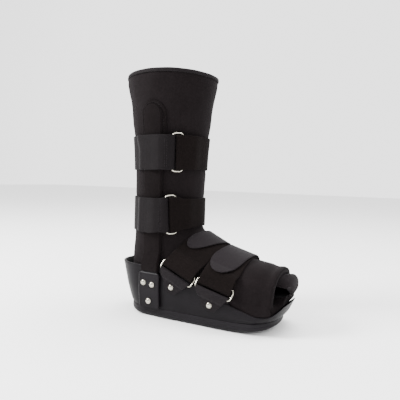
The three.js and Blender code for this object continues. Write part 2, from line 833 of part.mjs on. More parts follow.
function footEdgePoint(edge, share, lift) {
  const part = 1 - 2 * share;
  const row = mix(edge.crest, edge.row, Math.min(Math.abs(part), 1) ** 1.5);
  const point = linerPoint(row, edge.turn * part, lift);
  const least = shellHalf(point.x, point.z, strapLean) + lift;
  if (Math.abs(point.y) < least) point.y = -Math.sign(part) * least;
  return point;
}

// A foot strap's way: share and distance from the upper bar, measured along its middle
function footWay(strap) {
  const edges = footEdges(strap);
  const middle = (share) => {
    const [back, front] = edges.map((edge) => footEdgePoint(edge, share, 0));
    return back.add(front).multiplyScalar(0.5);
  };
  const stations = [];
  const steps = 48;
  let distance = 0;
  for (let i = 0; i <= steps; i += 1) {
    const share = i / steps;
    if (i) distance += middle(share).distanceTo(middle((i - 1) / steps));
    stations.push({ distance, share });
  }
  const slope = stations[1].share / stations[1].distance;
  const shareAt = (at) => {
    if (at <= 0) return at * slope;
    const next = Math.max(stations.findIndex((station) => station.distance >= at), 1);
    const [from, to] = [stations[next - 1], stations[next]];
    return mix(from.share, to.share, (at - from.distance) / (to.distance - from.distance));
  };
  const point = (at, lift, u) => {
    const [back, front] = edges.map((edge) => footEdgePoint(edge, shareAt(Math.min(at, distance)), lift));
    return back.lerp(front, (u + 1) / 2);
  };
  return { length: distance, point };
}

// A point of a strap tab, at a distance below the ring's lower bar
function tabPoint(strap, distance, lift, u) {
  const { along, up, middle } = footFrame(strap);
  const at = middle
    .clone()
    .addScaledVector(up, -barSpan / 2 - distance)
    .addScaledVector(along, (u * strapWidth) / 2);
  return at.setY(-shellHalf(at.x, Math.min(at.z, rimHeight(at.x))) - lift);
}

// The frame of a foot strap's ring
function footRing(strap) {
  const { point } = footWay(strap);
  const upper = acrossStrap.map((u) => point(0, barLift(pileThickness), u));
  const lower = acrossStrap.map((u) => tabPoint(strap, 0, barLift(tabThickness), u));
  return { ...barFrame(upper, lower), upper, lower };
}

// The upper bar's rise over the ring's middle, found so that the bars are a bar's span apart
for (const strap of footStraps) {
  strap.barRise = barSpan / 2;
  for (let i = 0; i < 8; i += 1) {
    const { upper, lower } = footRing(strap);
    const apart = upper[0].clone().add(upper[1]).sub(lower[0]).sub(lower[1]).length() / 2;
    strap.barRise = ((strap.barRise + barSpan / 2) * barSpan) / apart - barSpan / 2;
  }
}

const footStep = 9;

// The pile strap: folded round the ring's upper bar, over the crest, to its end on the far side
const pileEnd = 0.72; // as a share of the strap's way
function pileStrap(strap) {
  const { length, point } = footWay(strap);
  const end = pileEnd * length;
  const path = foldedEnd(pileThickness, foldTail, pileSlack, foldDrop);
  const low = path[0].lift;
  const start = path.at(-1).distance;
  const count = Math.ceil((end - start) / footStep);
  for (let i = 1; i <= count; i += 1) path.push({ distance: mix(start, end, i / count), lift: low });
  const place = foldPlace(footRing(strap), 1, pileThickness, foldTail, point);
  return bandShape(path, pileThickness, place, acrossStrap);
}

// The smooth tongue: from its rivet on the far side over the pile strap to a round end near the ring
function tongueStrap(strap) {
  const { length, point } = footWay(strap);
  const { up } = footFrame(strap);
  const half = strapWidth / 2;
  const low = 2 * clearance + strapThickness / 2;
  const high = low + pileThickness + 3.5 * clearance;
  const start = strap.tongueEnd * length;
  const end = length + strap.barRise + barSpan / 2 + tabReach;
  const path = [];
  const put = (distance, width) => {
    const down = ease((distance - (pileEnd + 0.02) * length) / foldTail);
    const overFold = Math.min(Math.max((foldTail + foldDrop + 3 - distance) / foldDrop, 0), 1);
    path.push({ distance, lift: mix(high, low, down) + 2 * foldRadius(pileThickness) * overFold, width });
  };
  for (const share of [0.02, 0.12, 0.3, 0.6, 1]) {
    put(start + share * half, roundEnd(share * half, half) / half);
  }
  const straight = end - half;
  const count = Math.ceil((straight - start - half) / footStep);
  for (let i = 1; i <= count; i += 1) put(mix(start + half, straight, i / count), 1);
  const tip = 2 * rivetInset;
  for (const share of [0.3, 0.6, 0.85, 1]) {
    const narrow = mix(1, tip / strapWidth, share);
    put(mix(straight, end, share), Math.min(narrow, roundEnd(half * (1 - share), tip) / tip));
  }
  const place = (distance, lift, u) => {
    const past = Math.max(distance - length, 0);
    const at = point(distance, lift, u).addScaledVector(up, -past);
    if (past > 0) at.y = Math.max(at.y, sideHalf(at.x, at.z) + lift);
    return at;
  };
  return bandShape(path, strapThickness, place, acrossStrap);
}

// A strap tab: folded round the ring's lower bar and narrowed to its rivet on the shell
function tabShape(strap) {
  const path = foldedEnd(tabThickness, tabTail, 0, tabDrop);
  const low = path[0].lift;
  for (const share of [0.72, 0.88, 1]) path.push({ distance: share * tabReach, lift: low });
  const tip = 2 * rivetInset;
  path.forEach((station, i) => {
    const narrow = mix(1, tip / strapWidth, Math.max(station.distance, 0) / tabReach);
    station.width = i < 3 ? 1 : Math.min(narrow, roundEnd(tabReach - station.distance, tip) / tip);
  });
  const surface = (distance, lift, u) => tabPoint(strap, distance, lift, u);
  const place = foldPlace(footRing(strap), -1, tabThickness, tabTail + tabDrop, surface);
  return bandShape(path, tabThickness, place, acrossStrap);
}

function rivetShape() {
  const radius = rivetDiameter / 2;
  const profile = [new THREE.Vector2(0, 0), new THREE.Vector2(radius, 0)];
  for (const turn of [0.12, 0.4, 0.7]) {
    const angle = (turn * Math.PI) / 2;
    profile.push(new THREE.Vector2(radius * Math.cos(angle), rivetDome * Math.sin(angle)));
  }
  profile.push(new THREE.Vector2(0, rivetDome));
  const lathe = new THREE.LatheGeometry(profile, 12).toNonIndexed();
  const at = lathe.getAttribute("position");
  const quads = [];
  for (let i = 0; i < at.count; i += 3) {
    const [a, b, c] = [0, 1, 2].map((k) => new THREE.Vector3().fromBufferAttribute(at, i + k));
    quads.push([a, b, c, c]);
  }
  return solid(quads);
}

// The toe flap: the far panel of the liner, laid under the near one and a little longer
function toeFlapShape() {
  const steps = flapTo - flapFrom;
  const turns = Array.from({ length: steps + 1 }, (_, k) => ((flapFrom + k) * 2 * Math.PI) / sectionPoints);
  const rows = Array.from({ length: flapRows + 1 }, (_, k) => lastRow - flapRows + k);
  const under = -linerWall - clearance;
  const sheet = (offset) => {
    const inside = rows.map((row) => turns.map((turn) => linerPoint(row, turn, offset)));
    const { topSlope, topStart, lowSlope, lowStart } = flapEnds;
    const front = inside.at(-1).map((point, k) => {
      const low = ease((topSlope * k) / steps + topStart);
      const ahead = flapAhead * low * ease((lowSlope * (steps - k)) / steps + lowStart);
      return point.clone().add(new THREE.Vector3(ahead, 0, -flapDroop * ahead));
    });
    return [...inside, front];
  };
  return sheetSolid(sheet(under), sheet(under - flapThickness));
}

const parts = new THREE.Group();

function add(name, geometry, [colour, roughness, metalness]) {
  const material = new THREE.MeshStandardMaterial({ color: colour, roughness, metalness });
  const mesh = new THREE.Mesh(geometry, material);
  mesh.name = name;
  parts.add(mesh);
  return mesh;
}

function addRing(strap, { middle, away, along }) {
  const ring = add(`ring_${strap.name}`, ringShape(ringLength, ringWidth), nickel);
  ring.setRotationFromMatrix(new THREE.Matrix4().makeBasis(away, along, away.clone().cross(along)));
  ring.position.copy(middle);
}

const foamCloth = [0x2a2829, 0.95, 0];
const smoothCloth = [0x38363a, 0.8, 0];
const pileCloth = [0x211f1f, 1, 0];
const plastic = [0x2c2a2e, 0.45, 0];
const rubber = [0x2b2a2c, 0.7, 0];
const nickel = [0xb8b4a8, 0.25, 1];

add("outsole", outsoleShape(), rubber);
add("shell", shellShape(), plastic);
add("liner", linerShape(), foamCloth);
add("toe_flap", toeFlapShape(), foamCloth);
add("collar_binding", bindingShape(), smoothCloth);

for (const [hand, side] of sides) {
  add(`upright_${hand}`, strutShape(side), plastic);
  add(`sleeve_${hand}`, sleeveShape(side), foamCloth);
}

for (const strap of legStraps) {
  const grey = legBand(strap, strapThickness, -1, strap.backEnd, 0, 0);
  const dark = legBand(strap, pileThickness, 1, strap.frontEnd, legSlack, overlapRise);
  add(`${strap.name}_strap_back`, grey, smoothCloth);
  add(`${strap.name}_strap_front`, dark, pileCloth);
  addRing(strap, legFrame(strap));
}

for (const strap of footStraps) {
  add(`${strap.name}_strap`, pileStrap(strap), pileCloth);
  add(`${strap.name}_tongue`, tongueStrap(strap), smoothCloth);
  add(`${strap.name}_tab`, tabShape(strap), smoothCloth);
  addRing(strap, footRing(strap));
}

// Rivets: three in each strut's plate, and one in each strap's end on each side
for (const [hand, side] of sides) {
  const put = (name, x, z, stack) => {
    const rivet = add(`rivet_${name}_${hand}`, rivetShape(), nickel);
    const reach = rivetDiameter / 2;
    const beside = [-reach, 0, reach];
    const half = Math.max(...beside.flatMap((a) => beside.map((b) => shellHalf(x + a, z + b))));
    rivet.position.set(x, -side * (half + stack + clearance), z);
    rivet.rotation.x = side > 0 ? Math.PI : 0;
  };
  plateRivets.forEach(({ name, across, height }) => {
    const x = strutMiddle(plateTop) + across * plateWidth;
    put(name, x, height * plateTop, 2 * clearance + plateThickness);
  });
  for (const strap of footStraps) {
    const { up, middle } = footFrame(strap);
    const at = middle.clone().addScaledVector(up, -barSpan / 2 - tabReach + rivetInset);
    put(strap.name, at.x, at.z, 2 * clearance + Math.max(tabThickness, strapThickness));
  }
}

const backReach = Math.max(heelReach, collarDepth / 2 + clearance + bindingTape);
parts.position.x = (backReach - toeReach) / 2;

export default parts;
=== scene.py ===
import bmesh
import bpy
import numpy as np
from mathutils import Matrix, Vector


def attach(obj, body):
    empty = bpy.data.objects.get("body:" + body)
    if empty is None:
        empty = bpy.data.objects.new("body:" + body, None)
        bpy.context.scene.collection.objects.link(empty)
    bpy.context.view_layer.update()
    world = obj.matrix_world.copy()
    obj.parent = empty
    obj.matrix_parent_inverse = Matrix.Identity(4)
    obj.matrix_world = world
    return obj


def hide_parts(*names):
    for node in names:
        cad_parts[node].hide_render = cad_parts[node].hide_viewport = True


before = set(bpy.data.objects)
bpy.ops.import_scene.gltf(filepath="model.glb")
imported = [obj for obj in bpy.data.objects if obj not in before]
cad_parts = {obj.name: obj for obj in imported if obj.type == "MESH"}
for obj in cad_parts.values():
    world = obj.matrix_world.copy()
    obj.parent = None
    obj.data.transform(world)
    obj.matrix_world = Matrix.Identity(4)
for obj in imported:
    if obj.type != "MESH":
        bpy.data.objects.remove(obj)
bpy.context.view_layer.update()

# Medical walking boot. Shapes are worked out in millimetres with the leg's axis at x = 0, the toe to
# +x, the ringed side to -y and the ground at z = 0. A piece is moved to the part's frame as it is made.
legAxis = -62.0
gap = 0.3

boot = {"height": 354.0, "collarDepth": 138.8, "collarWidth": 126.0, "heelReach": 71.0, "toeReach": 195.0,
        "instepHeight": 130.0, "footWidth": 92.0}
liner = {"wall": 7.0, "sideRise": 3.4, "riseFrom": 90.0}
sole = {"height": 14.0, "front": 179.0, "back": 52.0, "width": 102.0, "toeSpring": 7.0, "heelSpring": 3.0,
        "flatFrom": 0.16, "flatTo": 0.7, "curve": 1.6, "seam": 0.6}
shell = {"width": 108.0, "wall": 3.0, "floor": 3.0, "cup": 74.0, "lean": 0.8, "upright": 5.0}
strut = {"width": 26.0, "thickness": 2.6, "top": 303.0, "plateWidth": 35.0, "plateThickness": 4.4,
         "plateTop": 66.0, "plateBottom": 14.5, "step": 3.0, "lean": 0.01, "back": 1.5}
sleeve = {"width": 40.0, "foot": 30.6, "thickness": 1.6, "top": 312.0, "room": 1.0}
strap = {"width": 50.0, "thickness": 1.6, "pile": 2.2, "tail": 11.0, "drop": 9.0, "lap": 42.0, "rise": 2.2,
         "room": 0.56, "fade": 14.0, "slope": 26.0}
ring = {"wire": 3.2, "width": 18.0, "corner": 4.4}
tab = {"thickness": 1.6, "reach": 25.0, "inset": 8.0, "tail": 4.0, "drop": 7.0}
rivet = {"width": 9.4, "dome": 2.4, "drawn": 0.86}
linerTop = boot["height"] - 1.5
barSpan = ring["width"] - ring["wire"]

legStraps = [
    {"name": "upper", "height": 237.3, "turn": 0.94, "backEnd": 4.18, "frontEnd": -2.5, "raised": 2.0},
    {"name": "lower", "height": 147.4, "turn": 1.05, "backEnd": 4.18, "frontEnd": -2.5, "raised": 9.0},
]
footStraps = [
    {"name": "ankle", "x": 42.7, "above": 6.0, "tilt": 23.5, "crest": 76.5, "half": 18.5,
     "end": 0.2, "skew": 0.56, "point": 0.7},
    {"name": "instep", "x": 99.0, "above": 11.7, "tilt": 14.5, "crest": 116.5, "half": 20.0,
     "end": 0.1, "skew": 0.26, "point": 1.0},
]

# Shaft: heights as shares of the liner's, girths as shares of the collar's
shaft = {
    "height": np.array([1.0, 0.964, 0.93, 0.89, 0.848, 0.8, 0.75, 0.67, 0.56, 0.47]),
    "girth": np.array([1.0, 1.0, 0.966, 0.924, 0.893, 0.866, 0.83, 0.797, 0.773, 0.76]),
}
# Sections that fan round the instep to the toe, as shares of the boot's own sizes
foot = {
    "crest": [0.27, 0.272, 0.302, 0.338, 0.382, 0.43, 0.477, 0.535, 0.618, 0.725, 0.838, 0.935],
    "crestHeight": [1.125, 1.01, 0.945, 0.905, 0.872, 0.841, 0.808, 0.773, 0.726, 0.686, 0.655, 0.622],
    "sole": [-0.271, -0.272, -0.275, -0.275, -0.24, -0.155, 0.01, 0.22, 0.448, 0.655, 0.8, 0.902],
    "rise": [0.944, 0.713, 0.482, 0.267, 0.09, 0, 0, 0, 0, 0, 0, 0.03],
    "side": [1.035, 1.005, 0.975, 0.965, 0.955, 0.96, 0.965, 0.978, 1, 1, 0.967, 0.9],
    "upper": [2, 2, 2.1, 2.1, 2.1, 2.1, 2.1, 2.1, 2.1, 2.2, 2.3, 2.4],
    "lower": [2, 2, 2.2, 2.4, 2.8, 3.2, 3.4, 3.5, 3.5, 3.5, 3.5, 3.2],
}
plan = {"along": np.array([0, 0.15, 0.34, 0.5, 0.7, 0.85, 1.0]),
        "half": np.array([0.8, 0.86, 0.93, 0.955, 1.0, 0.995, 0.95]),
        "heel": (0.17, 2.2), "toe": (0.15, 2.3)}
rim = {"along": np.array([0, 0.2, 0.33, 0.42, 0.53, 0.73, 0.8, 0.88, 0.94, 1.0]),
       "height": np.array([1, 1, 0.99, 0.89, 0.75, 0.505, 0.415, 0.345, 0.38, 0.56])}


# ease is a smooth step from 0 to 1, three squares less two cubes
def ease(s):
    s = np.clip(s, 0, 1)
    return s * s * (3 - 2 * s)


# mix goes in a straight line from a to b
def mix(a, b, s):
    return a + (b - a) * s


# A quarter circle: steep from 0 and level at 1, and no lower than the root of least
def quarter(s, least=0.0):
    return np.sqrt(np.clip(1 - np.clip(1 - s, 0, 1) ** 2, least, 1))


# A whole turn in even steps, without its end
def circle(count):
    return np.arange(count) * (2 * np.pi / count)


# Arrays of coordinates as one array of points
def together(*parts):
    return np.stack(np.broadcast_arrays(*parts), -1)


# A direction made 1 long
def unit(way):
    return way / np.linalg.norm(way, axis=-1, keepdims=True)


# The distance run along a line of points, up to each of them
def runOf(line):
    return np.r_[0, np.cumsum(np.linalg.norm(np.diff(line, axis=0), axis=1))]


# A bell curve of a distance: e to minus the square of its share of the width
def bell(distance, width):
    return np.exp(-(distance / width) ** 2)


# Catmull-Rom curve through a list of values, at fractional places in it
def smoothRow(values, place):
    values = np.asarray(values, float)
    place = np.asarray(place, float)
    low = np.clip(np.floor(place), 0, len(values) - 2).astype(int)
    s = np.clip(place - low, 0, 1)
    a, b, c, d = (values[np.clip(low + i, 0, len(values) - 1)] for i in (-1, 0, 1, 2))
    return b + 0.5 * (c - a) * s + (a - 2.5 * b + 2 * c - 0.5 * d) * s ** 2 \
        + (1.5 * b - 0.5 * a - 1.5 * c + 0.5 * d) * s ** 3


# the same, where the places are given as values of a rising column
def smoothColumn(values, column, x):
    x = np.asarray(x, float)
    low = np.clip(np.searchsorted(column, x, side="right") - 1, 0, len(column) - 2)
    return smoothRow(values, low + np.clip((x - column[low]) / (column[low + 1] - column[low]), 0, 1))


# Layered waves with fixed phases: a smooth unevenness of about -1 to 1 for any points
def unevenness(points, size, seed):
    rng = np.random.default_rng(seed)
    total = np.zeros(points.shape[:-1])
    for octave, weight in ((1.0, 0.55), (1.9, 0.3), (3.7, 0.15)):
        for _ in range(5):
            way = rng.normal(size=3)
            way /= np.linalg.norm(way)
            turns = points @ way * (2 * np.pi * octave / size) + rng.uniform(0, 6.28)
            total += weight * np.sin(turns) / 2.2
    return total


# Half the width of a plan at a share of its length: the table's value times a rounded end at the
# heel and another at the toe, each a superellipse
def planHalf(share):
    def rounded(part, power):
        return np.clip(1 - (1 - np.clip(part, 0, 1)) ** power, 0, 1) ** (1 / power)
    ends = rounded(share / plan["heel"][0], plan["heel"][1]) \
        * rounded((1 - share) / plan["toe"][0], plan["toe"][1])
    return smoothColumn(plan["half"], plan["along"], share) * ends


soleLength = sole["back"] + sole["front"]
shellLength = boot["heelReach"] + boot["toeReach"]
flatBack = -sole["back"] + sole["flatFrom"] * soleLength
flatFront = -sole["back"] + sole["flatTo"] * soleLength


# The rocker's underside: 0 along its flat, a power of the way on to the toe, a square to the heel
def groundRise(x):
    toe = np.clip(x - flatFront, 0, None) / (sole["front"] - flatFront)
    heel = np.clip(flatBack - x, 0, None) / (sole["back"] + flatBack)
    return sole["toeSpring"] * toe ** sole["curve"] + sole["heelSpring"] * heel ** 2


# The seam of sole and shell: the sole's height and a share of the rocker's rise to the toe
def seamHeight(x):
    toe = np.clip(x - flatFront, 0, None) / (boot["toeReach"] - flatFront)
    return sole["height"] + sole["seam"] * sole["toeSpring"] * toe ** sole["curve"]


# The shell's rim: the table's share of the heel cup's height
def rimHeight(x):
    return shell["cup"] * smoothColumn(rim["height"], rim["along"], (x + boot["heelReach"]) / shellLength)


# A plan loop: the turn runs from the heel round the ringed side to the toe and back
def planPoint(turn, back, front, width, inset, heightAt):
    share = (1 - np.cos(turn)) / 2
    x = mix(-back + inset, front - inset, share)
    y = -np.sign(np.sin(turn)) * (width / 2 - inset) * planHalf(share)
    return np.stack([x, np.where(np.abs(np.sin(turn)) < 1e-9, 0, y), heightAt(x) + 0 * x], -1)


# Reach back, reach forward and width of the shell at a share of its wall's height: the reaches grow
# with a power of the share, and the width in a smooth step over its lower half
def shellReach(up):
    lean = up ** shell["lean"]
    back = mix(sole["back"], boot["heelReach"], lean)
    front = mix(sole["front"], boot["toeReach"], lean)
    return back, front, mix(sole["width"], shell["width"], ease(2 * up))


# A point of the wall: a plan loop of that reach, at a share of the height from the seam to the rim
def shellPoint(turn, up, inset, floor):
    back, front, width = shellReach(up)
    return planPoint(turn, back, front, width, inset,
                     lambda x: mix(seamHeight(x) + floor, rimHeight(x), up))


# Half the shell's outer width at a place of its side, leaning back in above the rim
def shellHalf(x, z, leanBack=0.35):
    low, high = seamHeight(x), rimHeight(x)
    back, front, width = shellReach(np.clip((z - low) / (high - low), 0, 1))
    half = width / 2 * planHalf(np.clip((x + back) / (back + front), 0, 1))
    return half - leanBack * np.clip(z - high - shell["upright"], 0, None)


# The liner's sections, down the shaft and round the instep to the toe
girth, footSole = shaft["girth"], np.array(foot["sole"]) * boot["toeReach"]
sections = {
    "crestX": np.r_[girth * boot["collarDepth"] / 2, np.array(foot["crest"]) * boot["toeReach"]],
    "crestZ": np.r_[shaft["height"] * linerTop, np.array(foot["crestHeight"]) * boot["instepHeight"]],
    "soleX": np.r_[-girth * boot["collarDepth"] / 2, footSole],
    "soleZ": np.r_[shaft["height"] * linerTop, seamHeight(footSole) + shell["floor"] + gap
                   + np.array(foot["rise"]) * boot["instepHeight"]],
    "half": np.r_[girth * boot["collarWidth"] / 2, np.array(foot["side"]) * boot["footWidth"] / 2],
    "upper": np.r_[2 + 0 * girth, foot["upper"]],
    "lower": np.r_[2 + 0 * girth, foot["lower"]],
}
lastRow = len(sections["half"]) - 1


# A section is an oval from its crest to its sole: middle, half length, direction, half width, powers
def section(row):
    at = {name: smoothRow(values, row) for name, values in sections.items()}
    middleX, middleZ = (at["crestX"] + at["soleX"]) / 2, (at["crestZ"] + at["soleZ"]) / 2
    dx, dz = at["crestX"] - at["soleX"], at["crestZ"] - at["soleZ"]
    reach = np.hypot(dx, dz) / 2
    return middleX, middleZ, dx / (2 * reach), dz / (2 * reach), reach, at["half"], at["upper"], at["lower"]


# A power that keeps the sign of its base
def power(base, exponent):
    return np.sign(base) * np.abs(base) ** exponent


# A point of the liner: turn is 0 on the crest and grows round the ringed side
def linerPoint(row, turn, offset):
    mx, mz, tx, tz, reach, half, upper, lower = section(row)
    exponent = 2 / np.where(np.cos(turn) >= 0, upper, lower)
    along = (reach + offset) * power(np.cos(turn), exponent)
    side = (half + offset) * power(np.sin(turn), exponent)
    return together(mx + tx * along, -side, mz + tz * along)


# Row and turn of the section through a place of the side view, by halving
def linerPlace(x, z):
    x, z = np.broadcast_arrays(np.asarray(x, float), np.asarray(z, float))
    low, high = np.zeros(x.shape), np.full(x.shape, float(lastRow))
    for _ in range(34):
        row = (low + high) / 2
        mx, mz, tx, tz = section(row)[:4]
        ahead = (x - mx) * tz - (z - mz) * tx > 0
        low, high = np.where(ahead, row, low), np.where(ahead, high, row)
    mx, mz, tx, tz, reach, _, upper, lower = section(low)
    along = np.clip(((x - mx) * tx + (z - mz) * tz) / reach, -1, 1)
    return low, np.arccos(power(along, np.where(along >= 0, upper, lower) / 2))


# Half the width at a place of the side view: the liner's or the shell's, whichever is more
def sideHalf(x, z):
    row, turn = linerPlace(x, z)
    return np.maximum(-linerPoint(row, turn, 0)[..., 1], shellHalf(x, z))


# The strut's middle line, which leans forward a little with height
def strutMiddle(z):
    return strut["lean"] * (z - strut["plateTop"]) - strut["back"]


# Half the sleeve's width: its foot's below the upper strap, then a smooth step to its own
def sleeveHalf(z):
    above = ease((z - legStraps[0]["height"]) / (strap["width"] / 2))
    return mix(sleeve["foot"], sleeve["width"], above) / 2


sleeveCover = 4 * gap + strut["thickness"]
sleeveStack = sleeveCover + sleeve["thickness"] + gap


# A mesh in metres in the part's frame, with its material, hiding the node it replaces; weld joins its loose
# faces
def finishPiece(name, points, faces, look, slot, node=None, uv=None, sharp=None, weld=False):
    mesh = bpy.data.meshes.new(name)
    placed = (np.asarray(points, float) + np.array([legAxis, 0, 0])) / 1000
    if weld:
        mesh.from_pydata(placed.tolist(), [], [list(dict.fromkeys(face)) for face in faces.tolist()])
        mesh.validate()
        work = bmesh.new()
        work.from_mesh(mesh)
        bmesh.ops.remove_doubles(work, verts=work.verts, dist=1e-6)
        bmesh.ops.recalc_face_normals(work, faces=work.faces)
        work.to_mesh(mesh)
        work.free()
    else:
        mesh.from_pydata(placed.tolist(), [], faces.tolist())
    if uv is not None:
        layer = mesh.uv_layers.new(name="cloth")
        layer.data.foreach_set("uv", np.asarray(uv, np.float32)[faces.ravel()].ravel())
    mesh.polygons.foreach_set("use_smooth", np.full(len(mesh.polygons), True))
    if sharp:
        mesh.set_sharp_from_angle(angle=sharp)
    mesh.validate()
    mesh.update()
    piece = bpy.data.objects.new(name, mesh)
    bpy.context.scene.collection.objects.link(piece)
    mesh.materials.append(looks[look])
    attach(piece, "root")
    if node:
        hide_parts(node)
    return piece


# Quads of a grid of points; open leaves out the last row and column, or neither, that join the first
def gridFaces(rows, columns, openRows=1, openColumns=1):
    i, k = np.meshgrid(np.arange(rows - openRows), np.arange(columns - openColumns), indexing="ij")
    i2, k2 = (i + 1) % rows, (k + 1) % columns
    corners = [i * columns + k, i * columns + k2, i2 * columns + k2, i2 * columns + k]
    return np.stack(corners, -1).reshape(-1, 4)


# Quads of loops one after another
def loopFaces(rows, columns):
    return gridFaces(rows, columns, 1, 0)


# Quads of loops whose last one joins the first
def ringFaces(rows, columns):
    return gridFaces(rows, columns, 0, 0)


# Signed volume of a closed mesh of quads: the sum of its corners' triple products
def volumeOf(points, faces):
    a, b, c, d = (points[faces[:, i]] for i in range(4))
    return np.einsum("ij,ij->i", a, np.cross(b, c)).sum() + np.einsum("ij,ij->i", a, np.cross(c, d)).sum()


# The rows' points in one list, and the faces, turned round where their volume is negative
def solid(rows, faces):
    points = rows.reshape(-1, 3)
    return points, faces if volumeOf(points, faces) > 0 else faces[:, ::-1]


# A closed tube of section loops, with both ends closed across by pairing opposite points of the loop
def tubeFaces(rows, columns):
    sides = loopFaces(rows, columns)
    k = np.arange(columns // 2 - 1)
    first = np.stack([k, k + 1, columns - 2 - k, columns - 1 - k], -1)
    last = (rows - 1) * columns + first[:, ::-1]
    return np.concatenate([sides, first[:, ::-1], last])


# Two sheets of the same layout joined round their edges as one closed body
def closedSheets(top, bottom):
    n, m = top.shape[:2]
    index = np.arange(n * m).reshape(n, m)
    edge = np.concatenate([index[0, :-1], index[:-1, -1], index[-1, :0:-1], index[:0:-1, 0]])
    following = np.roll(edge, -1)
    faces = np.concatenate([gridFaces(n, m), n * m + gridFaces(n, m)[:, ::-1],
                            np.stack([following, edge, edge + n * m, following + n * m], -1)])
    return solid(np.stack([top, bottom]), faces)


# Rows that bend over from an outer to an inner edge as half an oval, whose top is at the edges' level
def bentEdge(outer, inner, reach):
    turns = np.linspace(0, np.pi, 9)
    return [mix(outer, inner, (1 - np.cos(t)) / 2) + reach * (np.sin(t) - 1) for t in turns]


# Section of a strap or strip: shares across and through it, with half-round edges. The loop's points
# are in opposite pairs, so that its ends close across.
def flatLoop(across, roundness, bends=4):
    flat = np.linspace(-1, 1, across)
    turn = np.linspace(0, np.pi, 2 * bends + 2)[1:-1]
    top = np.stack([flat * (1 - roundness), 1 + 0 * flat], -1)
    right = np.stack([1 - roundness + roundness * np.sin(turn), np.cos(turn)], -1)
    half = len(right) // 2
    loop = np.concatenate([top, right, top[::-1] * [1, -1], right[::-1] * [-1, 1]])
    return np.roll(loop, half, axis=0)


# A band follows a path of distance and lift. Its section is turned to stand across the path, and the
# place function sets distance, lift and share across as a point on the boot.
def bandPiece(name, path, thickness, place, look, slot, node, width=1.0):
    distance, lift = path[:, 0], path[:, 1]
    along, up = np.gradient(distance), np.gradient(lift)
    size = np.hypot(along, up)
    loop = flatLoop(24, 0.035)
    through = loop[None, :, 1] * thickness / 2
    d = distance[:, None] - (up / size)[:, None] * through
    h = lift[:, None] + (along / size)[:, None] * through
    u = loop[None, :, 0] * np.broadcast_to(width, len(path))[:, None]
    points, faces = solid(place(d, h, u), tubeFaces(len(path), len(loop)))
    across = u * strap["width"] / 200 + 0.004 * loop[None, :, 1]
    uv = together(runOf(path)[:, None] / 100, across).reshape(-1, 2)
    return finishPiece(name, points, faces, look, slot, node, uv)


# Evenly spaced points on a bent line, with its corners rounded over a few millimetres
def smoothPath(stations, step=1.1, rounding=2):
    stations = np.asarray(stations, float)
    run = runOf(stations)
    keep = np.r_[True, np.diff(run) > 1e-6]
    run, stations = run[keep], stations[keep]
    even = np.linspace(0, run[-1], max(int(run[-1] / step), 12))
    line = np.stack([np.interp(even, run, stations[:, i]) for i in (0, 1)], -1)
    for _ in range(rounding):
        line[1:-1] = (line[:-2] + 2 * line[1:-1] + line[2:]) / 4
    return line


stitch = {"length": 2.6, "spacing": 3.6, "sides": 6, "along": np.array([0, 0.12, 0.5, 0.88, 1.0]),
          "wide": np.array([0.25, 0.9, 1.0, 0.9, 0.25]), "high": np.array([-0.8, 0.5, 0.9, 0.5, -0.8])}


# Small stitches along a line of points: one mesh of slender bars that stand on the surface
def stitchPiece(name, lines, slot, thickness=0.28):
    round6 = (np.arange(stitch["sides"]) * 2 * np.pi / stitch["sides"])[None, None, :, None]
    one = tubeFaces(len(stitch["along"]), stitch["sides"])
    each = len(stitch["along"]) * stitch["sides"]
    allPoints, allFaces, count = [], [], 0
    for points, normals in lines:
        run = runOf(points)
        number = int((run[-1] - stitch["length"]) / stitch["spacing"])
        starts = (np.arange(number) + 0.25) * stitch["spacing"]
        at = starts[:, None] + stitch["along"][None] * stitch["length"]
        line = np.stack([np.interp(at, run, points[:, i]) for i in range(3)], -1)
        out = unit(np.stack([np.interp(at, run, normals[:, i]) for i in range(3)], -1))
        side = np.cross(unit(line[:, -1:] - line[:, :1]), out)[:, :, None]
        wide = stitch["wide"][None, :, None, None] * thickness
        centre = (line + out * stitch["high"][None, :, None] * thickness)[:, :, None]
        loop = centre + wide * (np.cos(round6) * side + np.sin(round6) * out[:, :, None])
        points = loop.reshape(-1, 3)
        faces = (one[None] + (np.arange(number) * each)[:, None, None]).reshape(-1, 4)
        flip = volumeOf(points[:each], one) < 0
        allFaces.append((faces[:, ::-1] if flip else faces) + count)
        allPoints.append(points)
        count += len(points)
    return finishPiece(name, np.concatenate(allPoints), np.concatenate(allFaces), "thread", slot)


# A node group that takes a vector and named sizes, and gives named values
def newGroup(name, sizes, results):
    group = bpy.data.node_groups.new(name, "ShaderNodeTree")
    group.interface.new_socket(name="Vector", in_out="INPUT", socket_type="NodeSocketVector")
    for label, value in sizes.items():
        socket = group.interface.new_socket(name=label, in_out="INPUT", socket_type="NodeSocketFloat")
        socket.default_value = value
    for label in results:
        group.interface.new_socket(name=label, in_out="OUTPUT", socket_type="NodeSocketFloat")
    return group, group.nodes.new("NodeGroupInput").outputs, group.nodes.new("NodeGroupOutput").inputs


# Sets a socket to a number, or links another socket to it
def feed(tree, value, socket):
    if isinstance(value, (int, float)):
        socket.default_value = value
    else:
        tree.links.new(value, socket)


# One math node of one or two values
def math(tree, operation, a, b=None, clamp=False):
    node = tree.nodes.new("ShaderNodeMath")
    node.operation = operation
    node.use_clamp = clamp
    feed(tree, a, node.inputs[0])
    if b is not None:
        feed(tree, b, node.inputs[1])
    return node.outputs[0]


# A start value plus each socket times its weight; clamp keeps the last sum between 0 and 1
def weigh(tree, value, *terms, clamp=False):
    for i, (socket, weight) in enumerate(terms):
        last = clamp and i == len(terms) - 1
        value = math(tree, "ADD", math(tree, "MULTIPLY", socket, weight), value, last)
    return value


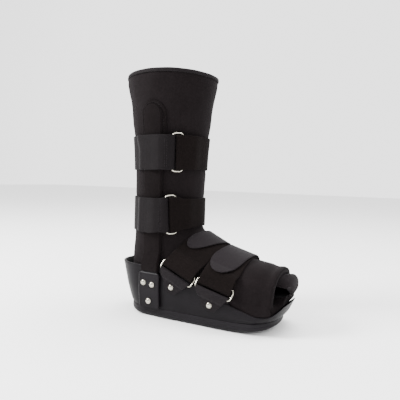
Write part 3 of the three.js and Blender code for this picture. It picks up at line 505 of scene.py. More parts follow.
# The first output of a texture node: a noise's height, or the distance to a cell's middle
def texture(tree, kind, vector, scale, **values):
    node = tree.nodes.new("ShaderNodeTex" + kind)
    tree.links.new(vector, node.inputs["Vector"])
    feed(tree, scale, node.inputs["Scale"])
    for label, value in values.items():
        node.inputs[label].default_value = value
    return node.outputs[0]


# Uneven tone: clouds of two sizes, weighed and less a half, as a value round 0
def toneGroup():
    group, given, out = newGroup("unevenTone", {"Large": 30.0, "Small": 260.0}, ["Value"])
    clouds = [(texture(group, "Noise", given["Vector"], given[label], Detail=4.0), weight)
              for label, weight in (("Large", 0.65), ("Small", 0.35))]
    group.links.new(weigh(group, -0.5, *clouds), out["Value"])
    return group


# Nap: short fibres as two sizes of cells and fine grain, as a height
def napGroup():
    group, given, out = newGroup("clothNap", {"Size": 1500.0}, ["Height", "Mask"])
    cells = texture(group, "Voronoi", given["Vector"], given["Size"])
    coarse = math(group, "MULTIPLY", given["Size"], 0.45)
    grain = texture(group, "Noise", given["Vector"], coarse, Detail=5.0)
    group.links.new(math(group, "ADD", math(group, "MULTIPLY", cells, 0.5), grain), out["Height"])
    group.links.new(math(group, "SUBTRACT", grain, 0.5), out["Mask"])
    return group


# Weave: ribs along one way crossed by finer threads, from a UV map whose unit is 100 mm
def weaveGroup():
    group, given, out = newGroup("strapWeave", {"Ribs": 90.0, "Threads": 160.0}, ["Height"])
    split = group.nodes.new("ShaderNodeSeparateXYZ")
    group.links.new(given["Vector"], split.inputs[0])
    waves = []
    for place, count in ((split.outputs[0], given["Threads"]), (split.outputs[1], given["Ribs"])):
        turns = math(group, "MULTIPLY", place, count)
        waves.append(math(group, "SINE", math(group, "MULTIPLY", turns, 2 * np.pi)))
    crossed = math(group, "MULTIPLY", *waves)
    group.links.new(weigh(group, 0.0, (waves[1], 0.6), (crossed, 0.4)), out["Height"])
    return group


groups = {"tone": toneGroup(), "nap": napGroup(), "weave": weaveGroup()}


# The outputs of a group's node, fed with a vector and numbers
def useGroup(tree, name, vector, **values):
    node = tree.nodes.new("ShaderNodeGroup")
    node.node_tree = groups[name]
    tree.links.new(vector, node.inputs["Vector"])
    for label, value in values.items():
        node.inputs[label].default_value = value
    return node.outputs


# A new material with numbers set on its shader's sockets, and the object's own coordinates
def startMaterial(name, **sockets):
    material = bpy.data.materials.new(name)
    material.use_nodes = True
    tree = material.node_tree
    shader = tree.nodes["Principled BSDF"]
    for label, value in sockets.items():
        shader.inputs[label.replace("_", " ")].default_value = value
    return material, tree, shader, tree.nodes.new("ShaderNodeTexCoord").outputs["Object"]


# The base colour goes from the low to the high one with a factor
def colourBetween(tree, shader, low, high, factor):
    blend = tree.nodes.new("ShaderNodeMix")
    blend.data_type = "RGBA"
    blend.inputs["A"].default_value = (*low, 1)
    blend.inputs["B"].default_value = (*high, 1)
    tree.links.new(factor, blend.inputs["Factor"])
    tree.links.new(blend.outputs["Result"], shader.inputs["Base Color"])


# The surface's bumps follow a height, whose full range is the distance in metres
def bumpFrom(tree, shader, height, strength, distance):
    bump = tree.nodes.new("ShaderNodeBump")
    bump.inputs["Strength"].default_value = strength
    bump.inputs["Distance"].default_value = distance
    tree.links.new(height, bump.inputs["Height"])
    tree.links.new(bump.outputs["Normal"], shader.inputs["Normal"])


# Brushed cloth: dark, with a soft sheen, clouds of tone and a short nap
def napCloth(name, low, high, sheen, size, depth, rough):
    material, tree, shader, place = startMaterial(
        name, Roughness=rough, Sheen_Weight=sheen, Sheen_Roughness=0.45,
        Sheen_Tint=(0.9, 0.86, 0.9, 1), Specular_IOR_Level=0.03)
    nap = useGroup(tree, "nap", place, Size=size)
    tone = useGroup(tree, "tone", place, Large=24.0, Small=210.0)
    factor = weigh(tree, 0.5, (tone[0], 1.1), (nap["Mask"], 0.9), clamp=True)
    colourBetween(tree, shader, low, high, factor)
    bumpFrom(tree, shader, nap["Height"], 0.7, depth)
    return material


# Woven tape or strap: ribs and threads from the strap's own UV map, with a little fuzz
def wovenCloth(name, low, high, sheen, ribs, threads, depth):
    material, tree, shader, place = startMaterial(
        name, Roughness=0.7, Sheen_Weight=sheen, Sheen_Roughness=0.4,
        Sheen_Tint=(0.9, 0.87, 0.92, 1), Specular_IOR_Level=0.05)
    uv = tree.nodes.new("ShaderNodeUVMap")
    uv.uv_map = "cloth"
    weave = useGroup(tree, "weave", uv.outputs["UV"], Ribs=ribs, Threads=threads)
    tone = useGroup(tree, "tone", place, Large=38.0, Small=420.0)
    fuzz = texture(tree, "Noise", place, 1900.0, Detail=4.0, Roughness=0.55)
    factor = weigh(tree, 0.5, (tone[0], 1.0), (weave[0], 0.12), clamp=True)
    colourBetween(tree, shader, low, high, factor)
    bumpFrom(tree, shader, weigh(tree, weave[0], (fuzz, 1.4)), 0.6, depth)
    return material


# Moulded plastic: fine grain, faint scuffs that are paler and rougher, and a soft gloss
def mouldedPlastic(name, low, high, rough, grain, depth, scuffs):
    material, tree, shader, place = startMaterial(name, Specular_IOR_Level=0.07)
    tone = useGroup(tree, "tone", place, Large=16.0, Small=120.0)
    fine = texture(tree, "Noise", place, grain, Detail=3.0, Roughness=0.55)
    stretched = tree.nodes.new("ShaderNodeMapping")
    stretched.inputs["Scale"].default_value = (60, 60, 700)
    tree.links.new(place, stretched.inputs["Vector"])
    streaks = texture(tree, "Noise", stretched.outputs[0], 1.0, Detail=5.0, Roughness=0.7)
    streaks = math(tree, "MULTIPLY", math(tree, "SUBTRACT", streaks, 0.66), 6.0, True)
    scratch = math(tree, "MULTIPLY", streaks, scuffs)
    factor = weigh(tree, 0.4, (tone[0], 1.0), (scratch, 1.0), clamp=True)
    colourBetween(tree, shader, low, high, factor)
    roughness = weigh(tree, rough, (tone[0], 0.25), (scratch, 0.15), clamp=True)
    tree.links.new(roughness, shader.inputs["Roughness"])
    bumpFrom(tree, shader, fine, 0.35, depth)
    return material


# Plated wire: metal with a brushed unevenness and slightly dull patches
def platedMetal(name, low, high, rough):
    material, tree, shader, place = startMaterial(name, Metallic=1.0)
    tone = useGroup(tree, "tone", place, Large=120.0, Small=900.0)
    fine = texture(tree, "Noise", place, 1400.0, Detail=3.0, Roughness=0.55)
    colourBetween(tree, shader, low, high, weigh(tree, 0.6, (tone[0], 1.4), clamp=True))
    roughness = weigh(tree, rough, (tone[0], 0.3), clamp=True)
    tree.links.new(roughness, shader.inputs["Roughness"])
    bumpFrom(tree, shader, fine, 0.12, 0.00005)
    return material


# Each row: low and high colour, then for a nap its sheen, size, depth and roughness, for a weave its
# sheen, ribs, threads and depth, for a plastic its roughness, grain, depth and scuffs
naps = {
    "linerCloth": ((0.0035, 0.0027, 0.0028), (0.009, 0.007, 0.0075), 0.025, 1700.0, 0.0002, 0.92),
    "sleeveCloth": ((0.003, 0.0022, 0.0022), (0.0072, 0.0056, 0.0059), 0.015, 1700.0, 0.0002, 0.92),
    "flapCloth": ((0.0038, 0.003, 0.0033), (0.0095, 0.0076, 0.0084), 0.03, 1500.0, 0.0002, 0.92),
    "pileCloth": ((0.0026, 0.0019, 0.0018), (0.0066, 0.0049, 0.0047), 0.012, 1100.0, 0.0004, 1.0),
    "thread": ((0.009, 0.0075, 0.008), (0.022, 0.019, 0.0205), 0.03, 2600.0, 0.00005, 0.7),
}
weaves = {
    "smoothStrap": ((0.0036, 0.0028, 0.0031), (0.0068, 0.0055, 0.0061), 0.012, 60.0, 110.0, 0.00012),
    # The tongues' copy of the smooth strap's cloth has paler colours: painted light on their upward faces
    "tongueStrap": ((0.0068, 0.0054, 0.0062), (0.0118, 0.0097, 0.011), 0.03, 60.0, 110.0, 0.00012),
    "tabWebbing": ((0.0045, 0.0036, 0.0041), (0.0098, 0.008, 0.009), 0.02, 55.0, 70.0, 0.0003),
    "bindingTape": ((0.0045, 0.0036, 0.004), (0.0098, 0.008, 0.0087), 0.02, 70.0, 90.0, 0.0002),
}
plastics = {
    "shellPlastic": ((0.0027, 0.0021, 0.0026), (0.0062, 0.0052, 0.0064), 0.45, 900.0, 0.00006, 0.5),
    "strutPlastic": ((0.0038, 0.003, 0.0038), (0.0085, 0.0072, 0.0086), 0.38, 1000.0, 0.00006, 0.5),
    "soleRubber": ((0.005, 0.0042, 0.0048), (0.0115, 0.0102, 0.0122), 0.5, 620.0, 0.00012, 0.8),
}
looks = {"nickel": platedMetal("nickel", (0.24, 0.228, 0.19), (0.5, 0.475, 0.41), 0.16)}
for maker, table in ((napCloth, naps), (wovenCloth, weaves), (mouldedPlastic, plastics)):
    for name, row in table.items():
        looks[name] = maker(name, *row)
print("materials made")


# Sole: side walls with a rounded foot and a groove, and a treaded underside
soleLook = {"points": 220, "across": 33, "foot": 6.5, "footPart": 0.5, "groove": 0.62, "grooveDepth": 0.35,
            "grooveHalf": 0.06, "treadEvery": 9.0, "treadDepth": 1.2, "treadInset": 0.86, "treadEnds": 12.0}


# Loops up the side, inset by a quarter circle at the foot, a bell at the groove and a slope on top
def soleSide():
    up = np.r_[0, 0.06, 0.14, 0.24, 0.36, 0.48, 0.54, 0.58, 0.62, 0.66, 0.7, 0.78, 0.88, 0.95, 1.0]
    inset = soleLook["foot"] * (1 - quarter(up / soleLook["footPart"]))
    inset += soleLook["grooveDepth"] * bell(up - soleLook["groove"], soleLook["grooveHalf"]) ** 1.4
    inset += 0.3 * np.clip((up - 0.93) / 0.07, 0, 1)
    turn = circle(soleLook["points"])
    return np.array([planPoint(turn, sole["back"], sole["front"], sole["width"], i,
                               lambda x: mix(groundRise(x), seamHeight(x) - gap, u))
                     for u, i in zip(up, inset)])


# The side's loops closed by a flat top and an underside, whose treads are the crests of a sine wave
def makeSole():
    rows = soleSide()
    count = soleLook["points"]
    half = count // 2
    share = np.linspace(1, -1, soleLook["across"])[1:-1]
    right = rows[0, 1:half]
    x = right[:, 0]
    under = together(x[:, None], right[:, 1:2] * share[None], groundRise(x)[:, None])
    wave = np.clip(np.sin(2 * np.pi * x / soleLook["treadEvery"]) * 3 - 1.2, 0, 1)
    for fromEnd in (x - x[0], x[-1] - x):
        wave = wave * np.clip(fromEnd / soleLook["treadEnds"], 0, 1)
    edge = np.clip((soleLook["treadInset"] - np.abs(share)) * 9, 0, 1)
    under[..., 2] += soleLook["treadDepth"] * wave[:, None] * edge[None]
    points = np.concatenate([rows.reshape(-1, 3), under.reshape(-1, 3)])
    grid = rows.size // 3 + np.arange(under.size // 3).reshape(under.shape[:2])
    # the underside's grid joins the lowest loop on both sides
    columns = np.c_[np.arange(1, half), grid, np.arange(count - 1, half, -1)]
    quads = [columns[:-1, :-1], columns[:-1, 1:], columns[1:, 1:], columns[1:, :-1]]
    faces = [loopFaces(len(rows), count), np.stack(quads, -1).reshape(-1, 4)[:, ::-1]]
    for end, line in ((0, columns[0]), (half, columns[-1])):
        corner = np.full(len(line) - 1, end)
        fan = np.stack([corner, line[:-1], line[1:], corner], -1)
        faces.append(fan if end == 0 else fan[:, ::-1])
    top = (len(rows) - 1) * count
    k = np.arange(1, half)
    faces.append(np.stack([top + k[:-1], top + k[1:], top + count - k[1:], top + count - k[:-1]], -1))
    faces.append(top + np.array([[0, 1, count - 1, 0], [half - 1, half, half + 1, half - 1]]))
    return points, np.concatenate(faces)


finishPiece("sole", *makeSole(), "soleRubber", "rubber_sole", "outsole", sharp=0.9, weld=True)


# Shell: outer wall, half-round rim, inner wall and floor
shellLook = {"points": 260, "rows": 18, "foot": 0.5, "footPart": 14.0, "edge": 0.32}


# Loops up the outer wall, over the rim and down the inner wall, closed flat at both ends
def makeShell():
    count = shellLook["points"]
    turn = circle(count)
    up = np.linspace(0, 1, shellLook["rows"])
    foot = shellLook["foot"] * np.clip(1 - up * shellLook["footPart"], 0, 1)
    outer = [shellPoint(turn, u, inset, 0) for u, inset in zip(up, foot)]
    inner = [shellPoint(turn, u, shell["wall"], shell["floor"]) for u in up[::-1]]
    bend = bentEdge(outer[-1], inner[0], np.array([0, 0, shell["wall"] * shellLook["edge"]]))
    rows = np.array(outer[:-1] + bend + inner[1:])
    faces = [loopFaces(len(rows), count)]
    k = np.arange(count // 2)
    for base, flip in ((0, True), ((len(rows) - 1) * count, False)):
        lid = base + np.stack([k, k + 1, (count - k - 1) % count, (count - k) % count], -1)
        faces.append(lid[:, ::-1] if flip else lid)
    return rows.reshape(-1, 3), np.concatenate(faces)


finishPiece("tub", *makeShell(), "shellPlastic", "shell_plastic", "shell", sharp=0.9, weld=True)
print("sole and shell made")


# The collar stands a little higher at its two sides than in front and behind: a power of the share of
# the half width, faded in by a smooth step up the shaft
def collarRise(points):
    across = np.clip(np.abs(points[..., 1]) / (boot["collarWidth"] / 2), 0, 1)
    high = ease((points[..., 2] - linerTop + liner["riseFrom"]) / liner["riseFrom"])
    points = points.copy()
    points[..., 2] += liner["sideRise"] * across ** 1.5 * high
    return points


# Half the depth and half the width of the shaft at a height, by the girths' table
def shaftHalves(z):
    share = smoothColumn(shaft["girth"][::-1], shaft["height"][::-1], z / linerTop)
    return share * boot["collarDepth"] / 2, share * boot["collarWidth"] / 2


# Liner: padded wall, puffed between what presses on it, with a rolled hem at the toe
linerLook = {"rowsPerSection": 7, "around": 200, "wave": 0.55, "fold": 0.27, "pressFrom": 118.0,
             "rowLength": 20.0}
toeLook = {"roll": 1.9, "groove": 1.1, "lip": 16.0, "push": 10.0, "fill": 14.0, "room": 0.7, "bend": 0.4}


# 1 where a leg strap lies, down to 0 in a smooth step past its edges
def pressedAt(points):
    z = points[..., 2]
    beyond = [np.abs(z - band["height"] - 1.5) - strap["width"] / 2 for band in legStraps]
    return (1 - ease((np.min(beyond, axis=0) + 3) / 10)) * (z > linerLook["pressFrom"])


# 1 on the lower and far part of the toe's mouth, 0 on the rest of it
def lipShare(turn):
    turn = np.mod(turn, 2 * np.pi)
    return ease((turn - 2.0) / 0.7) * ease((5.1 - turn) / 0.8)


# The side of the liner near the toe widens until it lies in the shell: the fill fades out above the
# rim, near the seam and away from the toe
def fillShell(points, row):
    x, y, z = np.moveaxis(points, -1, 0)
    inside = shellHalf(x, np.minimum(z, rimHeight(x))) - shell["wall"] - toeLook["room"]
    fill = ease(1 - (z - rimHeight(x)) / toeLook["fill"])
    fill = fill * ease((z - seamHeight(x) - 2) / 8) * ease((row - lastRow + 5) / 2)
    wider = np.sign(y) * mix(np.abs(y), np.maximum(np.abs(y), inside), fill)
    out = points.copy()
    out[..., 1] = np.where(np.abs(y) > 12, wider, y)
    return out


# The liner's outside: its section moved out by soft waves where nothing presses, in under the straps,
# and at the toe out by a bell for the hem's roll and in by another for the groove behind it
def linerSheet(row, turn):
    points = linerPoint(row, turn, 0.0)
    pressed = pressedAt(points)
    loose = unevenness(points, 70.0, 3) * linerLook["wave"]
    loose += unevenness(points, 26.0, 5) * linerLook["fold"]
    free = (1 - pressed) * ease(row / 0.8) * ease((lastRow - row) / 0.7)
    inShell = ease((rimHeight(points[..., 0]) + 4 - points[..., 2]) / 8)
    lift = free * (1 - inShell) * (0.2 + loose * 0.8) - 0.25 * pressed
    fromHem = (lastRow - row) * linerLook["rowLength"]
    roll = toeLook["roll"] * bell(fromHem - 5, 5.5) - toeLook["groove"] * bell(fromHem - 15, 4.5)
    roll = roll * (1 + 0.35 * np.sin(3 * turn + 0.6))
    return fillShell(linerPoint(row, turn, np.clip(lift, -0.5, 0.8) + roll), row)


# Rows down the outside, over the toe's edge and back up the inside, joined again at the collar
def makeLiner():
    dense = np.unique(np.r_[np.linspace(0, lastRow, lastRow * linerLook["rowsPerSection"] + 1),
                            lastRow - np.linspace(0, 0.6, 10)])
    turn = circle(linerLook["around"])[None]
    outer = linerSheet(dense[:, None], turn)
    lip = lipShare(turn) * ease((dense[:, None] - lastRow + 2.4) / 1.8)
    inner = linerPoint(dense[:, None], turn, -liner["wall"] - toeLook["lip"] * lip)
    ahead = unit(outer[-1] - linerPoint(np.full((1, 1), lastRow - 0.25), turn, 0)[0])
    bend = np.array(bentEdge(outer[-1], inner[-1], ahead * liner["wall"] * toeLook["bend"]))
    rows = collarRise(np.concatenate([outer[:-1], bend, inner[-2::-1]]))
    near = np.r_[dense[:-1], np.full(len(bend), float(lastRow)), dense[-2::-1]][:, None]
    low = ease((rows[..., 2] - seamHeight(rows[..., 0]) - 6) / 16)
    rows[..., 0] += toeLook["push"] * lipShare(turn) * ease((near - lastRow + 0.9) / 0.9) * low
    return solid(rows, ringFaces(len(rows), rows.shape[1]))


piece = finishPiece("linerBody", *makeLiner(), "linerCloth", "liner_cloth", "liner")
print("liner made")


# Toe flap: the far panel, under the near one and a little longer. It spans from one turn to another,
# in steps of the whole way round, and starts some rows behind the toe.
flapLook = {"thickness": 7.0, "ahead": 18.0, "droop": 0.12, "swell": 5.0, "deep": 24.0, "roll": 9.0,
            "edge": 5.0, "thin": 0.12, "from": -13, "to": 5, "rows": 2, "around": 32, "wave": 0.5}


# Two sheets under the liner's wall, pushed ahead past the toe by a power curve of the share across
# and apart by a half sine. Both close in on their middle by a quarter circle at the edges.
def makeFlap():
    share = np.linspace(0, 1, 90)
    along = np.linspace(0, 1, 40)
    turn = mix(flapLook["from"], flapLook["to"], share) * 2 * np.pi / flapLook["around"]
    under = -liner["wall"] - gap
    middle = np.clip(np.sin(np.pi * np.clip(share * 1.05, 0, 1)), 0, 1) ** 0.6
    out = ease((along - 0.66) / 0.3)[:, None] * middle[None]
    row = lastRow - flapLook["rows"] * (1 - np.clip(along / 0.7, 0, 1))
    ahead = flapLook["ahead"] * np.sqrt(np.clip(1 - np.abs((share - 0.62) / 0.5) ** 2.4, 0, 1))
    push = np.clip((along - 0.7) / 0.3, 0, 1)[:, None] * ahead[None]
    waved = flapLook["wave"] * np.clip((along - 0.5) / 0.4, 0, 1)[:, None]

    def sheet(offset):
        base = linerPoint(row[:, None], turn[None], offset)
        base[..., 0] += push
        base[..., 2] -= flapLook["droop"] * push
        base[..., 2] += unevenness(base, 34.0, 8) * waved
        return base
    top = sheet(under + flapLook["swell"] * out)
    bottom = sheet(under - flapLook["thickness"] - flapLook["deep"] * out)
    edgeAcross = np.minimum(share, 1 - share)[None] * len(share) / flapLook["edge"]
    edgeAhead = (1 - along)[:, None] * len(along) / flapLook["roll"]
    close = np.clip(quarter(np.minimum(edgeAcross, edgeAhead)), flapLook["thin"], 1)[..., None]
    centre = (top + bottom) / 2
    return closedSheets(mix(centre, top, close), mix(centre, bottom, close))


piece = finishPiece("toeFlap", *makeFlap(), "flapCloth", "flap_cloth", "toe_flap")


# Binding: tape folded over the liner's top edge, bulging a little on each side
bindingLook = {"tape": 1.2, "height": 5.0, "around": 240, "bulge": 0.25, "crown": 1.4, "girth": 66.0}


# Outer and inner contours of the tape, each two legs and half an oval, carried round the collar with
# the product of two sines as a slight unevenness in height
def makeBinding():
    tape, low, high = bindingLook["tape"], linerTop - bindingLook["height"], linerTop + gap
    crown, reach = bindingLook["crown"], liner["wall"] / 2 + gap
    t = np.linspace(0, np.pi, 17)
    down = np.linspace(0, 1, 7)[1:]

    def contour(half, height, bulge):
        leg = np.stack([half + bulge * np.sin(down * np.pi), mix(high - crown, low, down)], -1)
        arc = np.stack([half * np.cos(t), high - crown + height * np.sin(t)], -1)
        return np.concatenate([leg[::-1], arc, leg * [-1, 1]]) - [liner["wall"] / 2, 0]
    profile = np.concatenate([contour(reach + tape, crown + tape, bindingLook["bulge"]),
                              contour(reach, crown, 0)[::-1]])
    turn = circle(bindingLook["around"])[:, None]
    depth, width = shaftHalves(profile[:, 1])
    wave = 0.15 * np.sin(turn * 9 + 1) * np.sin(turn * 4) - 0.15
    points = np.stack([(depth + profile[:, 0]) * np.cos(turn), -(width + profile[:, 0]) * np.sin(turn),
                       profile[:, 1] + wave], -1)
    points, faces = solid(collarRise(points), ringFaces(len(turn), len(profile)))
    uv = together(turn * bindingLook["girth"] / 100, runOf(profile) / 100)
    return points, faces, uv.reshape(-1, 2)


points, faces, uv = makeBinding()
finishPiece("collarBinding", points, faces, "bindingTape", "binding_tape", "collar_binding", uv)
print("liner, flap and binding made")


# Struts and sleeves: sheets over the boot's side, mirrored for the left
strutLook = {"across": 22, "edge": 0.09, "bends": 5, "corner": 3.0, "ridge": 0.4, "ridgeIn": 2.6,
             "ridgeHalf": 1.1}
sleeveLook = {"columns": 57, "rows": 190, "flangeEdge": 1.2, "thin": 0.15, "seam": 0.45, "crown": 16.0,
              "stitchIn": 3.4}


# A half width that narrows to 0 over a quarter circle of that radius, by the distance from the end
def roundHalf(distance, half):
    return half * quarter(distance / half)


# A point over a side of the boot: its half width and a lift, to -y for the right and +y for the left
def onSide(side, x, z, lift):
    return together(x, -side * (sideHalf(x, z) + lift), z)


# Strut and plate in one: width and thickness change in a smooth step at the plate's top, the plate
# has round lower corners and a bell-shaped ridge along its back edge
def makeStrut(side):
    bottom, top, step = strut["plateBottom"], strut["plateTop"], strut["step"]
    z = np.unique(np.r_[np.linspace(bottom, top, 46), np.linspace(top, strut["top"] - 0.05, 130)])
    plate = 1 - ease((z - top + step) / step)
    corner = strut["width"] / 2
    half = mix(strut["width"], strut["plateWidth"], plate) / 2
    half = half * (roundHalf(strut["top"] - 1 - z, corner) + gap) / corner
    cut = strutLook["corner"] - roundHalf(z - bottom + 0.4, strutLook["corner"])
    half = half - cut * (z < bottom + strutLook["corner"])
    thickness = mix(strut["thickness"], strut["plateThickness"], plate)
    loop = flatLoop(strutLook["across"], strutLook["edge"], strutLook["bends"])
    u, through = loop[None, :, 0] * half[:, None], loop[None, :, 1]
    ridge = strutLook["ridge"] * bell(u + half[:, None] - strutLook["ridgeIn"], strutLook["ridgeHalf"])
    ridge = ridge * plate[:, None] * (through > 0)
    lift = 2 * gap + thickness[:, None] * (through + 1) / 2 + ridge
    points = onSide(side, strutMiddle(z)[:, None] + u, z[:, None], lift)
    return solid(points, tubeFaces(len(z), len(loop)))


# A sheet that steps up over the strut in a smooth step, with a bell-shaped groove at its seam, a soft
# unevenness, and edges that close by a quarter circle
def makeSleeve(side):
    crown = sleeveLook["crown"]
    z = np.r_[np.linspace(strut["plateTop"] + 3 * gap, sleeve["top"] - crown, sleeveLook["rows"]),
              sleeve["top"] - crown * (1 - np.linspace(0, 1, 26)[1:] ** 0.6)]
    roundTop = np.maximum(roundHalf(sleeve["top"] - z, sleeve["width"] / 2), 1.2)
    half = np.minimum(sleeveHalf(z), roundTop)[:, None]
    z = z[:, None]
    u = np.linspace(-1, 1, sleeveLook["columns"])[None] * half
    middle = strut["width"] / 2 + sleeve["room"]
    raisedHalf = np.minimum(np.minimum(middle, roundHalf(strut["top"] + 3 - z, middle)), half - 1.3)
    beyond = np.abs(u) - raisedHalf
    raised = (1 - ease((beyond + 0.6) / 1.8)) * (raisedHalf > 0.5)
    seam = sleeveLook["seam"] * bell(beyond - 1.6, 0.8)
    close = quarter((half - np.abs(u)) / sleeveLook["flangeEdge"])
    x = strutMiddle(z) + u
    soft = unevenness(together(x, 0, z), 30.0, 12) * 0.18 * raised
    centre = mix(2 * gap, sleeveCover, raised) + sleeve["thickness"] / 2
    thick = sleeve["thickness"] / 2 * np.clip(close, sleeveLook["thin"], 1)
    return closedSheets(onSide(side, x, z, centre + thick - seam * close + soft),
                        onSide(side, x, z, centre - thick))


# Lines for stitches on a sleeve, with their normals: two along its edges and one round its top
def sleeveStitches(side):
    inset, lift = sleeveLook["stitchIn"], 2 * gap + sleeve["thickness"]
    z = np.linspace(strut["plateTop"] + 4, sleeve["top"] - 22, 120)
    lines = [onSide(side, strutMiddle(z) + end * (sleeveHalf(z) - inset), z, lift) for end in (-1, 1)]
    turn = np.linspace(-1.35, 1.35, 60)
    radius, centre = sleeve["width"] / 2 - inset, sleeve["top"] - 20
    x = strutMiddle(centre) + radius * np.sin(turn)
    lines.append(onSide(side, x, centre + radius * np.cos(turn), lift))
    return [(line, np.tile([0, -side, 0], (len(line), 1)).astype(float)) for line in lines]


for hand, side in (("right", 1), ("left", -1)):
    finishPiece("strut_" + hand, *makeStrut(side), "strutPlastic", "strut_plastic", "upright_" + hand,
                sharp=0.8)
    piece = finishPiece("sleeveCloth_" + hand, *makeSleeve(side), "sleeveCloth", "sleeve_cloth",
                        "sleeve_" + hand)
    stitchPiece("sleeveStitch_" + hand, sleeveStitches(side), "sleeve_cloth")
print("struts and sleeves made")


# Straps: distances along a strap start at its ring's bar, and lifts are above the boot's surface.
# The fold's radius is the bar's, the room and half the thickness.
def foldRadius(thickness):
    return ring["wire"] / 2 + strap["room"] + thickness / 2


# The bar's height over the surface: the low run's and the fold's radius
def barLift(thickness):
    return 3 * gap + thickness / 2 + foldRadius(thickness)


# The folded end of a strap: tail, bend round the bar, and the way down to the low run
def foldedEnd(thickness, tail, slack, drop):
    low, radius = 3 * gap + thickness / 2, foldRadius(thickness)
    turn = np.linspace(0, np.pi, 13)
    bend = np.stack([-slack - radius * np.sin(turn), low + radius * (1 - np.cos(turn))], -1)
    high = low + 2 * radius
    tailPart = np.array([[tail, low], [tail / 2, low], [0, low]])
    start = tail + 1
    back = np.array([[0, high], [tail / 2, high - 0.5], [start, high - 1.0],
                     [start + 0.25 * drop, mix(high, low, 0.2)], [start + 0.5 * drop, mix(high, low, 0.52)],
                     [start + 0.75 * drop, mix(high, low, 0.84)], [start + drop, low + 0.05],
                     [start + drop + 3, low]])
    return np.concatenate([tailPart, bend, back]), low


# A point round the shaft: its oval at that height, and a lift that grows over the sleeves' stack
def shaftPoint(turn, lift, z):
    depth, width = shaftHalves(z)
    beside = np.abs(depth * np.cos(turn) - strutMiddle(z)) - sleeveHalf(z)
    reach = lift + sleeveStack * (1 - ease((beside - 0.6) / strap["fade"]))
    return together((depth + reach) * np.cos(turn), -(width + reach) * np.sin(turn), z)


# A point of a leg strap, whose lower edge is raised in front by a cosine of the turn
def legPoint(band, turn, lift, u):
    front = np.clip(np.cos(turn), 0, None)
    z = band["height"] + u * strap["width"] / 2 + np.where(u < 0, -u, 0) * band["raised"] * front
    return shaftPoint(turn, lift, z)


# A ring's own directions: away from bar to bar, along the bars at right angles to it, and out
def barFrame(first, second):
    start, end = second.mean(0), first.mean(0)
    away = (end - start) / np.linalg.norm(end - start)
    along = first[1] + second[1] - first[0] - second[0]
    along = along - away * (along @ away)
    along /= np.linalg.norm(along)
    out = np.cross(away, along)
    return {"middle": (start + end) / 2, "away": away, "along": along, "out": out if out[1] < 0 else -out}


ends = np.array([-1.0, 1.0])


# The turns of a ring's two bars, set apart until the bars are their span apart
def barTurns(band):
    half = barSpan / boot["collarWidth"]
    for _ in range(8):
        right = legPoint(band, band["turn"] - half, barLift(strap["pile"]), ends).sum(0)
        left = legPoint(band, band["turn"] + half, barLift(strap["thickness"]), ends).sum(0)
        half *= 2 * barSpan / np.linalg.norm(right - left)
    return band["turn"] - half, band["turn"] + half


# A leg ring's frame, from the ends of its two bars on the straps' surface
def legFrame(band):
    right, left = barTurns(band)
    return barFrame(legPoint(band, right, barLift(strap["pile"]), ends),
                    legPoint(band, left, barLift(strap["thickness"]), ends))


# Straight in the ring's frame up to the bar; beyond it the band joins the surface over the tail
def foldPlace(axes, bar, thickness, tail, surface):
    def straight(d, lift, u):
        away = axes["away"] * (bar * (barSpan / 2 + d))[..., None]
        along = axes["along"] * (u * strap["width"] / 2)[..., None]
        return axes["middle"] + away + along + axes["out"] * (lift - barLift(thickness))[..., None]

    def place(d, lift, u):
        d, lift, u = np.broadcast_arrays(d, lift, u)
        shift = straight(0 * d, lift, u) - surface(0 * d, lift, u)
        beyond = surface(d, lift, u) + shift * (1 - ease(d / tail))[..., None]
        return np.where((d <= 0)[..., None], straight(d, lift, u), beyond)
    return place


legParts = {
    "Back": {"bar": -1, "end": "backEnd", "thickness": strap["thickness"], "slack": 0, "rise": 0, "spare": 8,
             "look": "smoothStrap", "slot": "smooth_strap", "node": "_strap_back"},
    "Front": {"bar": 1, "end": "frontEnd", "thickness": strap["pile"], "slack": 6.2, "rise": strap["rise"],
              "spare": 21, "look": "pileCloth", "slot": "pile_strap", "node": "_strap_front"},
}


# A leg strap from its fold to its end round the shaft: a turn for each radius of distance, with a
# smooth rise over its last stretch where it laps the other strap
def legBand(band, name, part):
    thickness, bar = part["thickness"], part["bar"]
    right, left = barTurns(band)
    start, end = right if bar > 0 else left, band[part["end"]]
    step = 0.01
    near, after = (legPoint(band, start + turn, barLift(thickness), np.float64(0)) for turn in (0, step))
    radius = np.linalg.norm(near - after) / step
    length = radius * abs(end - start)
    fold, low = foldedEnd(thickness, strap["tail"], part["slack"], strap["slope"])
    d = np.arange(fold[-1, 0] + 2, length, 2.0)
    lift = low - gap + part["rise"] * ease((d - length + strap["lap"]) / strap["tail"])
    path = smoothPath(np.concatenate([fold, np.stack([d, lift], -1)]))

    def surface(d, lift, u):
        return legPoint(band, start + np.sign(end - start) * d / radius, lift, u)
    place = foldPlace(legFrame(band), bar, thickness, strap["tail"], surface)
    piece = bandPiece(band["name"] + "Strap" + name, path, thickness, place, part["look"], part["slot"],
                      band["name"] + part["node"])
    return place, low


# Lines across a strap at some distances, a little in from its edges, with their normals
def sewnLines(place, distances, lift, inset=3.0):
    u = np.linspace(-1, 1, 60) * (1 - inset / (strap["width"] / 2))
    lines = []
    for d in distances:
        points, above = (place(np.full(60, d), np.full(60, lift + more), u) for more in (0, 1))
        lines.append((points, above - points))
    return lines


for band in legStraps:
    place, low = legBand(band, "Back", legParts["Back"])
    legBand(band, "Front", legParts["Front"])
    high = low + 2 * foldRadius(strap["thickness"]) - 0.7 + strap["thickness"] / 2
    stitchPiece(band["name"] + "StrapStitch", sewnLines(place, [7.5, 9.8], high), "smooth_strap")
print("leg straps made")


# Foot straps. The row whose crest lies at x, by halving.
def crestRow(x):
    low, high = 0.0, float(lastRow)
    for _ in range(40):
        row = (low + high) / 2
        if smoothRow(sections["crestX"], row) < x and row > 4 or row <= 9:
            low = row
        else:
            high = row
    return low


